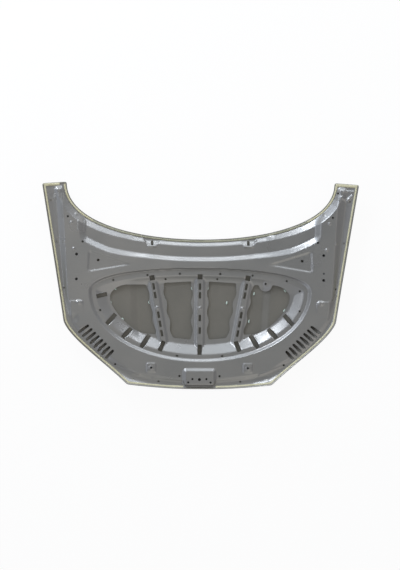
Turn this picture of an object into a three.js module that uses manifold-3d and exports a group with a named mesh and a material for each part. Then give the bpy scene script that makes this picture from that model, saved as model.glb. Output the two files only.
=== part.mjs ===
// Bare steel car bonnet lying on its outer skin, with its inner side up.
// Millimetres. +X is to the right as seen from above, +Y to the windscreen edge, +Z up.
import * as THREE from 'three';
import Module from 'manifold-3d';
import { mergeVertices } from 'three/addons/utils/BufferGeometryUtils.js';

// Outline, right half; the left half is its mirror image.
const cowlMidY = 217;
const cowlReach = 324;
const hornInnerX = 635;
const hornInnerY = 487;
const hornLean = 5;
const hornRun = 186;
const hornTipX = 751;
const hornTipY = 478;
const cornerX = 645;
const cornerY = -176;
const noseCornerX = 342;
const noseCornerY = -473;
const noseY = -494;

// Sheet metal and the hem that holds the two panels together.
const skinSheet = 1;
const panelSheet = 1;
const hemGap = 0.45;
const hemWidth = 8;
const panelInset = 1.8;

// Crown of the outer skin.
const restY = -40;
const crown = 38;
const sideRoll = 22;
const noseFall = 20;
const noseRoll = 49;
const rearRise = 18;
const cornerRoll = 18;
const bulge = 7;
const bulgeBlend = 34;
const bulgeBlendNose = 84;
const creaseFadeY = -300;
const creaseRearX = 348;
const creaseNoseX = 291;

// Levels of the inner panel above the skin.
const plateauFront = 50;
const plateauRear = 28;
const rearEndLift = 8;
const rearLiftStart = 150;
const rearLiftStop = 500;
const shelfLift = 18;
const shelfBlend = 240;
const windowLift = 8;
const ledgeDrop = 12.5;
const noseDroop = 8;
const cornerDroop = 12;

// Slopes along the edges, measured inwards from the outline.
const flangeNarrow = 14.5;
const flangeSide = 24;
const flangeHorn = 48;
const cowlSlope = 19;
const cowlSlopeEnd = 34;
const shelfWidth = 46;
const upperSlope = 20;
const upperSlopeEnd = 29;
const shelfEndX = 545;
const shelfEndSlope = 28;
const sideSlopeRear = 40;
const sideSlopeFront = 14;
const diagonalSlope = 30;
const noseCornerSlope = 46;
const noseSlope = 34;

// Large D recess.
const recessX = 528;
const recessSideY = -28;
const recessRearY = 81;
const recessFrontY = -365;
const rimFront = 14;
const rimRear = 5;
const ledgeFront = 33;
const ledgeRear = 38;
const wallFront = 83;
const wallRear = 51;

// Ribs across the recess.
const ribLift = 19;
const ribTopHalf = 14;
const ribFootHalf = 27;
const ribRearX = 228;
const ribFrontX = 171;
const ribRearY = 33;
const ribFrontY = -285;

// Windows between the ribs.
const windowRearY = 17;
const windowOuterRearY = 1;
const windowFrontY = -260;
const windowSideFrontY = -236;
const scallopDepth = 4.5;
const scallopPitch = 87;
const flangeMid = 38;
const flangeInner = 46;
const flangeOuter = 30;
const tabX = 312;
const tabRadius = 31;

// Pads and embossed shapes.
const latchHalf = 66;
const latchRearY = -409;
const latchRise = 10;
const latchSlope = 15;
const bumpPadX = 229;
const bumpPadY = -393;
const bumpPadHalf = 19;
const sidePadX = 585;
const sidePadY = -108;
const sidePadHalf = 28;
const padRise = 4;
const padSlope = 6;
const jetPadX = 229;
const jetPadY = 193;
const jetPadHalfX = 26;
const jetPadHalfY = 9;
const jetPadTilt = 0.5;
const triangleDepth = 5;
const triangleSlope = 8;

// Holes and slots.
const smallHole = 10;
const boltHole = 14;
const gaugeHole = 13;
const slotWidth = 20;
const dashWidth = 11;
const dashLength = 31;
const louvreCount = 8;
const louvreWidth = 9;
const ribHole = 24;
const jetSlotWidth = 11;
const jetSlotLength = 21;

// Reinforcement plates and weld nuts.
const plateSheet = 1.6;
const seatGap = 0.4;
const hingePlateX = 582;
const hingePlateHalf = 26;
const hingePlateRearY = 178;
const hingePlateFrontY = -12;
const hingeBoltX = 586;
const hingeBoltY = [143, 25];
const strikerBoltX = latchHalf - 13;
const strikerBoltY = -462;
const nutAcross = 15;
const nutHeight = 7;
const nutBore = 8.4;

// Sealer bead over the raw edge of the hem.
const beadOuter = 6.5;
const beadInner = 13;
const beadCrown = 1.9;
const beadGap = 0.3;

const wasm = await Module();
wasm.setup();

const vec = (x, y) => new THREE.Vector2(x, y);
const mix = THREE.MathUtils.lerp;
const ramp = (from, to, value) => THREE.MathUtils.clamp((value - from) / (to - from), 0, 1);
const mirrored = (points) => points.map((p) => vec(-p.x, p.y)).reverse();

// Even steps along a cubic curve, without its last point.
function bezierPoints(count, ...controls) {
  return new THREE.CubicBezierCurve(...controls).getSpacedPoints(count).slice(0, -1);
}

function straightPoints(count, from, to) {
  return Array.from({ length: count }, (_, i) => from.clone().lerp(to, i / count));
}

// Right half of the outline, from the middle of the windscreen edge to the middle of the nose.
function outlineSides() {
  const tipInner = vec(hornInnerX, hornInnerY);
  const tipOuter = vec(hornTipX, hornTipY);
  const corner = vec(cornerX, cornerY);
  const noseCorner = vec(noseCornerX, noseCornerY);
  const cowlLean = vec(hornInnerX + hornLean, hornInnerY - hornRun);
  const cowl = bezierPoints(16, vec(0, cowlMidY), vec(cowlReach, cowlMidY), cowlLean, tipInner);
  const horn = straightPoints(3, tipInner, tipOuter);
  const side = straightPoints(12, tipOuter, corner);
  const diagonalStart = vec(cornerX - 35, cornerY - 86);
  const diagonalEnd = vec(noseCornerX + 108, noseCornerY + 103);
  const diagonal = bezierPoints(8, corner, diagonalStart, diagonalEnd, noseCorner);
  const noseBow = vec(noseCornerX / 2, noseY + 1);
  const nose = bezierPoints(6, noseCorner, noseBow, vec(noseCornerX / 4, noseY), vec(0, noseY));
  return { cowl, horn, side, diagonal, nose };
}

const sides = outlineSides();
const rightHalf = [...sides.cowl, ...sides.horn, ...sides.side, ...sides.diagonal, ...sides.nose];
const noseMid = vec(0, noseY);
const outline = [...rightHalf, noseMid, ...mirrored(rightHalf.slice(1))];

const cowlLine = [...sides.cowl, sides.horn[0]];
const hornLine = [...sides.horn, sides.side[0]];
const sideLine = [...sides.side, ...sides.diagonal, ...sides.nose, noseMid];

// Right half of the D recess rim, from the front middle round to the rear middle.
function recessHalf() {
  const sideMid = vec(recessX, recessSideY);
  const front = [vec(0, recessFrontY), vec(299, recessFrontY), vec(recessX, recessSideY - 190)];
  const rear = [vec(recessX, recessSideY + 73), vec(300, recessRearY), vec(0, recessRearY)];
  return [...bezierPoints(15, ...front, sideMid), ...bezierPoints(15, sideMid, ...rear)];
}

const recessRight = recessHalf();
const recessRim = [...recessRight, vec(0, recessRearY), ...mirrored(recessRight.slice(1))];

function segmentDistance(x, y, a, b) {
  const along = ((x - a.x) * (b.x - a.x) + (y - a.y) * (b.y - a.y)) / a.distanceToSquared(b);
  const t = THREE.MathUtils.clamp(along, 0, 1);
  return Math.hypot(x - mix(a.x, b.x, t), y - mix(a.y, b.y, t));
}

function lineDistance(line, x, y) {
  let nearest = Infinity;
  for (let i = 1; i < line.length; i += 1) {
    nearest = Math.min(nearest, segmentDistance(x, y, line[i - 1], line[i]));
  }
  return nearest;
}

function isInside(loop, x, y) {
  let inside = false;
  loop.forEach((a, i) => {
    const b = loop[(i + 1) % loop.length];
    if (a.y > y !== b.y > y && x < a.x + ((b.x - a.x) * (y - a.y)) / (b.y - a.y)) inside = !inside;
  });
  return inside;
}

// Distance inside a closed loop, negative outside it.
function depthInside(loop, x, y) {
  const distance = lineDistance([...loop, loop[0]], x, y);
  return isInside(loop, x, y) ? distance : -distance;
}

// Half the width of the bonnet at a station along its length.
function sideX(y) {
  return mix(cornerX, hornTipX, (y - cornerY) / (hornTipY - cornerY));
}

function creaseX(y) {
  return mix(creaseNoseX, creaseRearX, (y - noseY) / (hornInnerY - noseY));
}

// Width of the step beside the centre bulge, which softens towards the nose.
function creaseWidth(y) {
  return mix(bulgeBlend, bulgeBlendNose, ramp(creaseFadeY, noseY, y));
}

// Broad crown that both panels share.
function crownZ(x, y) {
  const across = Math.abs(x) / sideX(y);
  const forward = Math.max(0, (restY - y) / (restY - noseY));
  const rearward = Math.max(0, (y - restY) / (hornInnerY - restY));
  return crown * across ** 2 + noseFall * forward ** 2 + rearRise * rearward ** 2;
}

// Shares of the way to the nose and to the diagonal edge, 1 on the edge itself.
function edgeShares(x, y) {
  const run = vec(cornerX - noseCornerX, cornerY - noseCornerY);
  const cross = Math.abs(x) * run.y - y * run.x;
  return {
    forward: Math.max(0, (restY - y) / (restY - noseY)),
    diagonal: Math.max(0, cross / (cornerX * run.y - cornerY * run.x)),
  };
}

// Height of the skin where its step beside the centre bulge has the given width.
function bulgedZ(x, y, width) {
  const across = Math.abs(x) / sideX(y);
  const { forward, diagonal } = edgeShares(x, y);
  const rolls = sideRoll * across ** 8 + noseRoll * forward ** 5 + cornerRoll * diagonal ** 8;
  const fromCrease = (Math.abs(x) - creaseX(y)) / width;
  return crownZ(x, y) + rolls + bulge * ramp(-0.5, 0.5, fromCrease);
}

// Outer face of the skin.
function skinZ(x, y) {
  return bulgedZ(x, y, creaseWidth(y));
}

// Main level of the inner panel, which dips towards the nose and the diagonal edges.
function plateauZ(x, y) {
  const { forward, diagonal } = edgeShares(x, y);
  const droop = noseDroop * forward ** 8 + cornerDroop * diagonal ** 6;
  const rear = plateauRear + rearEndLift * ramp(rearLiftStart, rearLiftStop, Math.abs(x));
  return crownZ(x, y) + bulge + mix(plateauFront, rear, ramp(-300, 200, y)) - droop;
}

// How far a point is outside a box; negative inside.
function boxOutside(x, y, box) {
  return Math.max(Math.abs(x - box.x) - box.halfX, Math.abs(y - box.y) - box.halfY);
}

const latchPad = {
  x: 0,
  y: (latchRearY + noseY - 60) / 2,
  halfX: latchHalf,
  halfY: (latchRearY - noseY + 60) / 2,
  slope: latchSlope,
};
const raisedPads = [-1, 1].flatMap((hand) => [
  { x: hand * bumpPadX, y: bumpPadY, halfX: bumpPadHalf, halfY: bumpPadHalf, slope: padSlope },
  { x: hand * sidePadX, y: sidePadY, halfX: sidePadHalf, halfY: sidePadHalf, slope: padSlope },
]);
const jetPads = [-1, 1].map((hand) => ({
  x: hand * jetPadX,
  y: jetPadY,
  halfX: jetPadHalfX,
  halfY: jetPadHalfY,
  slope: padSlope + 2,
}));
const hingePads = [-1, 1].map((hand) => ({
  x: hand * hingePlateX,
  y: (hingePlateRearY + hingePlateFrontY) / 2,
  halfX: hingePlateHalf + 3,
  halfY: (hingePlateRearY - hingePlateFrontY) / 2 + 3,
  slope: padSlope,
}));
const flatPads = [
  { ...latchPad, rise: latchRise, middleY: (latchRearY + noseY) / 2 },
  ...raisedPads.map((pad) => ({ ...pad, rise: padRise })),
  ...hingePads.map((pad) => ({ ...pad, rise: 0 })),
];
const padMask = (pad, x, y) => 1 - ramp(0, pad.slope, boxOutside(x, y, pad));

// Plane that touches the plateau at the middle of a pad's flat part.
function padZ(pad, x, y) {
  const middleY = pad.middleY ?? pad.y;
  const middle = plateauZ(pad.x, middleY);
  const slopeX = (plateauZ(pad.x + 5, middleY) - plateauZ(pad.x - 5, middleY)) / 10;
  const slopeY = (plateauZ(pad.x, middleY + 5) - plateauZ(pad.x, middleY - 5)) / 10;
  return middle + pad.rise + slopeX * (x - pad.x) + slopeY * (y - middleY);
}

// Embossed triangle between the recess and the windscreen step, right hand one, turning left.
const triangle = [vec(312, 96), vec(536, 58), vec(532, 165)];

// Depth inside the triangle for either hand.
function triangleInside(x, y) {
  const gaps = triangle.map((a, i) => {
    const b = triangle[(i + 1) % 3];
    return ((b.x - a.x) * (y - a.y) - (b.y - a.y) * (Math.abs(x) - a.x)) / a.distanceTo(b);
  });
  return Math.min(...gaps);
}

function topZ(x, y) {
  let z = plateauZ(x, y);
  for (const pad of flatPads) z = mix(z, padZ(pad, x, y), padMask(pad, x, y));
  return z - triangleDepth * ramp(0, triangleSlope, triangleInside(x, y));
}

// Steps along the windscreen edge, measured inwards; the slopes widen towards the horns.
function cowlBreaks(x) {
  const shelfStart = flangeNarrow + mix(cowlSlope, cowlSlopeEnd, ramp(260, 620, Math.abs(x)));
  const shelfStop = shelfStart + shelfWidth;
  const upperStop = shelfStop + mix(upperSlope, upperSlopeEnd, ramp(200, 540, Math.abs(x)));
  return { shelfStart, shelfStop, upperStop };
}

// Two steps up from the windscreen edge, with the flat shelf between them.
function rearEdgeZ(x, y, flange) {
  const inward = lineDistance(cowlLine, Math.abs(x), y);
  const { shelfStart, shelfStop, upperStop } = cowlBreaks(x);
  const top = topZ(x, y);
  const shelfEnd = ramp(shelfEndX, shelfEndX + shelfEndSlope, Math.abs(x));
  const shelfZ = mix(bulgedZ(x, y, shelfBlend) + shelfLift, top, shelfEnd);
  let z = mix(shelfZ, top, ramp(shelfStop, upperStop, inward));
  for (const pad of jetPads) {
    const facet = skinZ(pad.x, pad.y) + shelfLift + jetPadTilt * (pad.y - y);
    z = mix(z, facet, padMask(pad, x, y));
  }
  return mix(flange, z, ramp(flangeNarrow, shelfStart, inward));
}

// Width of the flat flange and of the slope inside it, along the sides, the diagonals and the nose.
function sideFlange(y) {
  const nearCorner = mix(flangeNarrow, flangeSide, ramp(cornerY - 20, cornerY + 130, y));
  return nearCorner + (flangeHorn - flangeSide) * ramp(cornerY + 130, hornTipY - 46, y);
}

function sideSlope(x, y) {
  const alongSide = mix(sideSlopeFront, sideSlopeRear, ramp(cornerY + 130, hornTipY - 46, y));
  const alongNose = mix(noseSlope, noseCornerSlope, ramp(90, 290, Math.abs(x)));
  const alongFront = mix(alongNose, diagonalSlope, ramp(noseCornerX - 20, noseCornerX + 80, Math.abs(x)));
  const width = mix(alongSide, alongFront, ramp(cornerY + 130, cornerY - 20, y));
  return mix(width, padSlope, padMask(latchPad, x, y) * ramp(-300, -400, y));
}

const ribs = [
  { rear: vec(-ribRearX, ribRearY), front: vec(-ribFrontX, ribFrontY) },
  { rear: vec(0, ribRearY + 6), front: vec(0, ribFrontY) },
  { rear: vec(ribRearX, ribRearY), front: vec(ribFrontX, ribFrontY) },
];

function ribDistance(x, y) {
  return Math.min(...ribs.map((rib) => segmentDistance(x, y, rib.rear, rib.front)));
}

// Rim, ledge, wall and floor widths of the recess, which differ at the front and the rear.
function recessBreaks(y) {
  const rearward = ramp(-20, 50, y);
  return {
    rim: mix(rimFront, rimRear, rearward),
    ledge: mix(ledgeFront, ledgeRear, rearward),
    wall: mix(wallFront, wallRear, rearward),
  };
}

function recessZ(x, y, outside) {
  const depth = depthInside(recessRim, x, y);
  if (depth <= 0) return outside;
  const { rim, ledge, wall } = recessBreaks(y);
  const floor = skinZ(x, y) + skinSheet + windowLift;
  const ledgeZ = mix(outside, plateauZ(x, y) - ledgeDrop, ramp(0, rim, depth));
  const wallZ = mix(ledgeZ, floor, ramp(ledge, wall, depth));
  const rise = (ribLift - windowLift - skinSheet) * (1 - ramp(ribTopHalf, ribFootHalf, ribDistance(x, y)));
  return depth > ledge ? Math.max(wallZ, floor + rise) : wallZ;
}

// Lower face of the inner panel.
function panelZ(x, y) {
  const flange = skinZ(x, y) + skinSheet + hemGap;
  const fromSide = lineDistance(sideLine, Math.abs(x), y);
  const fromHorn = lineDistance(hornLine, Math.abs(x), y);
  const start = sideFlange(y);
  let z = recessZ(x, y, rearEdgeZ(x, y, flange));
  z = mix(flange, z, ramp(start, start + sideSlope(x, y), fromSide));
  return mix(flange, z, ramp(flangeNarrow, flangeNarrow + cowlSlope, fromHorn));
}

// Loop moved inwards, with mitred corners; the loop runs clockwise as seen from above.
function inset(loop, distance) {
  const count = loop.length;
  return loop.map((point, i) => {
    const before = point.clone().sub(loop[(i + count - 1) % count]).normalize();
    const after = loop[(i + 1) % count].clone().sub(point).normalize();
    const mitre = vec(before.y + after.y, -before.x - after.x).divideScalar(1 + before.dot(after));
    const step = typeof distance === 'function' ? distance(point) : distance;
    return mitre.multiplyScalar(step).add(point);
  });
}

// Triangles of a point set, by adding the points one at a time.
function delaunay(points) {
  const far = 20000;
  const all = [...points, vec(-far, -far), vec(far, -far), vec(0, far)];
  const withCircle = (a, b, c) => {
    const [p, q, r] = [all[a], all[b], all[c]];
    const double = 2 * ((q.x - p.x) * (r.y - p.y) - (q.y - p.y) * (r.x - p.x));
    const qq = q.lengthSq() - p.lengthSq();
    const rr = r.lengthSq() - p.lengthSq();
    const x = (qq * (r.y - p.y) - rr * (q.y - p.y)) / double;
    const y = (rr * (q.x - p.x) - qq * (r.x - p.x)) / double;
    return { corners: [a, b, c], x, y, reach: (p.x - x) ** 2 + (p.y - y) ** 2 };
  };
  const first = points.length;
  let triangles = [withCircle(first, first + 1, first + 2)];
  points.forEach((point, index) => {
    const rim = new Map();
    triangles = triangles.filter((t) => {
      if ((point.x - t.x) ** 2 + (point.y - t.y) ** 2 >= t.reach - 1e-7) return true;
      t.corners.forEach((a, i) => {
        const b = t.corners[(i + 1) % 3];
        if (!rim.delete(`${b},${a}`)) rim.set(`${a},${b}`, [a, b]);
      });
      return false;
    });
    for (const [a, b] of rim.values()) triangles.push(withCircle(a, b, index));
  });
  return triangles.map((t) => t.corners).filter((corners) => Math.max(...corners) < first);
}

// Adds points to a set, using one that is already closer than the least spacing.
function makePointSet(leastSpacing) {
  const points = [];
  const add = (point) => {
    const near = points.findIndex((p) => p.distanceTo(point) < leastSpacing);
    if (near >= 0) return near;
    points.push(point);
    return points.length - 1;
  };
  return { points, add };
}

// Triangulates the inside of a loop along the given lines; a line that gets lost is halved.
function meshRegion(loop, lines, spacing) {
  const { points, add } = makePointSet(4);
  let chains = [[...loop, loop[0]], ...lines].map((line) => line.map(add));
  inset(loop, -60).forEach(add);
  const low = noseY - spacing;
  for (let row = 0; low + row * spacing * 0.87 < hornInnerY; row += 1) {
    const y = low + row * spacing * 0.87;
    for (let x = -hornTipX - (row % 2) * (spacing / 2); x < hornTipX; x += spacing) {
      const clear = points.every((p) => Math.hypot(p.x - x, p.y - y) > spacing * 0.6);
      if (clear && depthInside(loop, x, y) > 20) add(vec(x, y));
    }
  }
  let triangles = delaunay(points);
  for (let round = 0; round < 3; round += 1) {
    const edges = new Set(triangles.flatMap(([a, b, c]) => [`${a},${b}`, `${b},${c}`, `${c},${a}`]));
    chains = chains.map((chain) => chain.flatMap((b, i) => {
      const a = chain[i - 1];
      if (i === 0 || a === b || edges.has(`${a},${b}`) || edges.has(`${b},${a}`)) return [b];
      return [add(points[a].clone().lerp(points[b], 0.5)), b];
    }));
    triangles = delaunay(points);
  }
  const kept = triangles.filter((corners) => {
    const x = corners.reduce((sum, i) => sum + points[i].x, 0) / 3;
    const y = corners.reduce((sum, i) => sum + points[i].y, 0) / 3;
    return isInside(loop, x, y);
  });
  return { points, triangles: kept, rim: orderedRim(kept) };
}

// Rim of a patch of triangles as point numbers in order, the patch to the left.
function orderedRim(triangles) {
  const following = new Map();
  const sidesSeen = new Set(triangles.flatMap(([a, b, c]) => [`${a},${b}`, `${b},${c}`, `${c},${a}`]));
  for (const side of sidesSeen) {
    const [a, b] = side.split(',').map(Number);
    if (!sidesSeen.has(`${b},${a}`)) following.set(a, b);
  }
  const rim = [[...following.keys()][0]];
  while (following.get(rim.at(-1)) !== rim[0]) rim.push(following.get(rim.at(-1)));
  return rim;
}

// Collects corners and triangles of one closed body.
function makeBody() {
  const corners = [];
  const faces = [];
  const loop = (points, heightAt) => points.map((p) => corners.push([p.x, p.y, heightAt(p)]) - 1);
  const face = (a, b, c) => faces.push([a, b, c]);
  const strip = (lower, upper, closed = true) => {
    const count = closed ? lower.length : lower.length - 1;
    for (let i = 0; i < count; i += 1) {
      const j = (i + 1) % lower.length;
      face(lower[i], lower[j], upper[j]);
      face(lower[i], upper[j], upper[i]);
    }
  };
  return { corners, faces, loop, face, strip };
}

function toManifold({ corners, faces }) {
  const mesh = new wasm.Mesh({
    numProp: 3,
    vertProperties: new Float32Array(corners.flat()),
    triVerts: new Uint32Array(faces.flat()),
  });
  return new wasm.Manifold(mesh);
}

function fromManifold(solid) {
  const mesh = solid.getMesh();
  const geometry = new THREE.BufferGeometry();
  geometry.setAttribute('position', new THREE.BufferAttribute(mesh.vertProperties, 3));
  geometry.setIndex(new THREE.BufferAttribute(mesh.triVerts, 1));
  return geometry;
}

function geometryToManifold(geometry) {
  const bare = geometry.clone();
  bare.deleteAttribute('normal');
  bare.deleteAttribute('uv');
  const merged = mergeVertices(bare);
  return new wasm.Manifold(new wasm.Mesh({
    numProp: 3,
    vertProperties: new Float32Array(merged.attributes.position.array),
    triVerts: new Uint32Array(merged.index.array),
  }));
}

// Sheet between two height functions over a meshed region.
function sheetBody(region, lowerZ, upperZ) {
  const body = makeBody();
  const lower = body.loop(region.points, (p) => lowerZ(p.x, p.y));
  const upper = body.loop(region.points, (p) => upperZ(p.x, p.y));
  for (const [a, b, c] of region.triangles) {
    body.face(lower[a], lower[c], lower[b]);
    body.face(upper[a], upper[b], upper[c]);
  }
  body.strip(region.rim.map((i) => lower[i]), region.rim.map((i) => upper[i]));
  return body;
}

// Upright cutter through the whole bonnet.
function cutter(points) {
  const geometry = new THREE.ExtrudeGeometry(new THREE.Shape(points), { depth: 300, bevelEnabled: false });
  return geometryToManifold(geometry.translate(0, 0, -50));
}

function roundPoints(x, y, diameter, count) {
  return Array.from({ length: count }, (_, i) => {
    const angle = ((i + 0.5) * 2 * Math.PI) / count;
    return vec(x + (diameter / 2) * Math.cos(angle), y + (diameter / 2) * Math.sin(angle));
  });
}

// Rectangle of a given width along the line between two points.
function slotPoints(from, to, width) {
  const along = to.clone().sub(from).normalize();
  const across = vec(-along.y, along.x).multiplyScalar(width / 2);
  return [
    from.clone().sub(across),
    to.clone().sub(across),
    to.clone().add(across),
    from.clone().add(across),
  ];
}

const pairHoles = [
  [710, 398, smallHole], [628, 322, smallHole], [558, 203, smallHole], [682, 201, smallHole],
  [646, -17, smallHole], [412, 21, smallHole], [250, 46, smallHole], [96, 53, smallHole],
  [473, -122, smallHole], [107, -337, smallHole], [400, -378, smallHole], [316, -448, smallHole],
  [194, -459, smallHole], [95, -432, smallHole], [33, -446, smallHole],
  [484, 116, gaugeHole], [bumpPadX, bumpPadY, smallHole], [strikerBoltX, strikerBoltY, smallHole],
  ...hingeBoltY.map((y) => [hingeBoltX, y, boltHole]),
];
const singleHoles = [
  [587, 57, smallHole], [-164, 27, smallHole], [82, 28, smallHole], [tabX, 7, smallHole],
  [652, 438, smallHole],
  [474, -27, smallHole], [0, -448, boltHole],
];

function holeCutters() {
  const both = pairHoles.flatMap(([x, y, d]) => [[x, y, d], [-x, y, d]]);
  return [...both, ...singleHoles].map(([x, y, d]) => cutter(roundPoints(x, y, d, d > smallHole ? 8 : 6)));
}

// Slots in the sloping front wall of the recess, each from its upper to its lower end.
const wallSlots = [
  [190, -315, 171, -268],
  [278, -298, 240, -238],
  [366, -252, 325, -207],
  [442, -188, 401, -140],
];
const middleWallSlot = [0, -332, 0, -284];
const leftWallSlot = [-491, -57, -442, -45];

function wallSlotCutters() {
  const both = wallSlots.flatMap(([ax, ay, bx, by]) => [[ax, ay, bx, by], [-ax, ay, -bx, by]]);
  const all = [...both, middleWallSlot, leftWallSlot];
  return all.map(([ax, ay, bx, by]) => cutter(slotPoints(vec(ax, ay), vec(bx, by), slotWidth)));
}

// Slots along the top of each rib, and the larger opening at its rear end.
const sideDashes = [-8, -49, -143, -186, -230];
const middleDashes = [-8, -49, -157, -217];

function ribCutters() {
  return ribs.flatMap(({ rear, front }, i) => {
    const along = front.clone().sub(rear).normalize();
    const dashes = i === 1 ? middleDashes : sideDashes;
    const slots = dashes.map((y) => {
      const middle = rear.clone().lerp(front, (rear.y - y) / (rear.y - front.y));
      const half = along.clone().multiplyScalar(dashLength / 2);
      return cutter(slotPoints(middle.clone().sub(half), middle.clone().add(half), dashWidth));
    });
    const half = along.clone().multiplyScalar(ribHole / 2);
    slots.push(cutter(slotPoints(rear.clone().sub(half), rear.clone().add(half), ribHole)));
    return slots;
  });
}

// Row of louvre slots beside each front corner.
function louvreCutters() {
  return [-1, 1].flatMap((hand) => Array.from({ length: louvreCount }, (_, i) => {
    const t = i / (louvreCount - 1);
    const outer = vec(hand * mix(576, 447, t), mix(-230, -352, t));
    const inner = vec(hand * mix(526, 408, t), mix(-193, -311, t));
    return cutter(slotPoints(outer, inner, louvreWidth));
  }));
}

function jetSlotCutters() {
  return jetPads.map(({ x, y }) => {
    const half = vec(0, jetSlotLength / 2);
    return cutter(slotPoints(vec(x, y).sub(half), vec(x, y).add(half), jetSlotWidth));
  });
}

// Scalloped window edge beside a rib, from the rear to the front.
function ribEdge(rib, offset, rearY, frontY) {
  const steps = 18;
  return Array.from({ length: steps + 1 }, (_, i) => {
    const y = mix(rearY, frontY, i / steps);
    const axis = mix(rib.rear.x, rib.front.x, (rib.rear.y - y) / (rib.rear.y - rib.front.y));
    const wave = scallopDepth * Math.cos(((y + 85) * 2 * Math.PI) / scallopPitch);
    return vec(axis + offset + Math.sign(offset) * wave, y);
  });
}

// Outer window of one hand, with the tab that the right one has in its rear edge.
function outerWindow(hand) {
  const rib = ribs[1 + hand];
  const outer = [
    vec(356, windowOuterRearY - 1), vec(393, -12), vec(425, -44), vec(423, -84), vec(406, -116),
    vec(385, -145), vec(352, -179), vec(305, -216), vec(262, -232),
  ].map((p) => vec(hand * p.x, p.y));
  const inner = ribEdge(rib, hand * flangeOuter, windowOuterRearY, windowSideFrontY);
  const tab = Array.from({ length: 9 }, (_, i) => {
    const angle = Math.PI + (i * Math.PI) / 8;
    return vec(tabX + tabRadius * Math.cos(angle), windowOuterRearY + tabRadius * Math.sin(angle));
  });
  return hand > 0 ? [...inner.reverse(), ...tab, ...outer] : [...inner.reverse(), ...outer];
}

// Inner window of one hand, between the middle rib and a side rib.
function innerWindow(hand) {
  const middle = ribEdge(ribs[1], hand * flangeMid, windowRearY, windowFrontY);
  const side = ribEdge(ribs[1 + hand], -hand * flangeInner, windowRearY - 8, windowFrontY + 8);
  return [...middle, ...side.reverse()];
}

const windows = [outerWindow(-1), innerWindow(-1), innerWindow(1), outerWindow(1)];

// Offset lines of the recess rim, at the start and end of each of its slopes.
function recessLines() {
  const rim = recessRim.slice().reverse();
  const at = (pick) => inset(rim, (p) => pick(recessBreaks(p.y)));
  const lines = [rim, at((b) => b.rim), at((b) => b.ledge), at((b) => b.wall)];
  return lines.map((line) => [...line, line[0]]);
}

// Lines at the top and the foot of each rib's sides.
function ribLines() {
  return ribs.flatMap(({ rear, front }) => {
    const along = front.clone().sub(rear).normalize();
    const across = vec(-along.y, along.x);
    return [-ribFootHalf, -ribTopHalf, ribTopHalf, ribFootHalf].map((offset) => {
      const steep = Math.abs(offset) === ribTopHalf;
      const start = rear.clone().addScaledVector(along, steep ? 6 : 12).addScaledVector(across, offset);
      const end = front.clone().addScaledVector(along, steep ? -12 : -24).addScaledVector(across, offset);
      return [...straightPoints(7, start, end), end];
    });
  });
}

// Lines along the steps of the windscreen edge.
function cowlLines() {
  const offsets = [['shelfStart', 0], ['shelfStop', 4], ['upperStop', 4]];
  return offsets.flatMap(([name, dropped]) => {
    const right = inset(outline, (p) => cowlBreaks(p.x)[name]).slice(0, cowlLine.length - dropped - 1);
    return [[...mirrored(right), ...right.slice(1)]];
  });
}

// Lines along the slopes of the sides, the diagonals and the nose.
function sideLines() {
  const count = cowlLine.length + sides.horn.length;
  const last = rightHalf.length;
  const flange = inset(outline, (p) => sideFlange(p.y)).slice(count, count + sides.side.length);
  const slopeEnd = inset(outline, (p) => sideFlange(p.y) + sideSlope(p.x, p.y)).slice(count, last + 1);
  return [flange, slopeEnd].flatMap((line) => [line, mirrored(line)]);
}

// Closed lines at the foot and the top of each pad's slope.
function padLines() {
  const boxLine = (pad, grow) => {
    const corners = [[-1, -1], [-1, 1], [1, 1], [1, -1], [-1, -1]];
    return corners.map(([i, j]) => vec(pad.x + i * (pad.halfX + grow), pad.y + j * (pad.halfY + grow)));
  };
  const longLine = (pad, grow) => {
    const box = boxLine(pad, grow);
    return [...box.slice(1).flatMap((corner, i) => straightPoints(i % 2 ? 1 : 4, box[i], corner)), box[4]];
  };
  const shortPads = [...raisedPads, ...jetPads].flatMap((pad) => [boxLine(pad, 0), boxLine(pad, pad.slope)]);
  const pads = [...shortPads, ...hingePads.flatMap((pad) => [longLine(pad, 0), longLine(pad, pad.slope)])];
  const latchTop = boxLine(latchPad, 0).slice(1, 3);
  const latchFoot = boxLine(latchPad, latchSlope).slice(1, 3);
  const drop = (p) => vec(p.x, noseY + flangeNarrow + padSlope + 2);
  return [...pads, ...[latchTop, latchFoot].map((line) => [drop(line[0]), ...line, drop(line[1])])];
}

// Outer and inner outline of the embossed triangles.
function triangleLines() {
  const turned = triangle.slice().reverse();
  const inner = inset(turned, triangleSlope);
  return [turned, inner].flatMap((line) => {
    const dense = line.flatMap((p, i) => straightPoints(3, p, line[(i + 1) % 3]));
    const closed = [...dense, dense[0]];
    return [closed, mirrored(closed)];
  });
}

function shelfEndLines() {
  return [-1, 1].flatMap((hand) => [
    [vec(hand * shelfEndX, 296), vec(hand * shelfEndX, 256)],
    [vec(hand * (shelfEndX + shelfEndSlope), 322), vec(hand * (shelfEndX + shelfEndSlope), 280)],
  ]);
}

const edgeRing = [...inset(outline, flangeNarrow), inset(outline, flangeNarrow)[0]];

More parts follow.
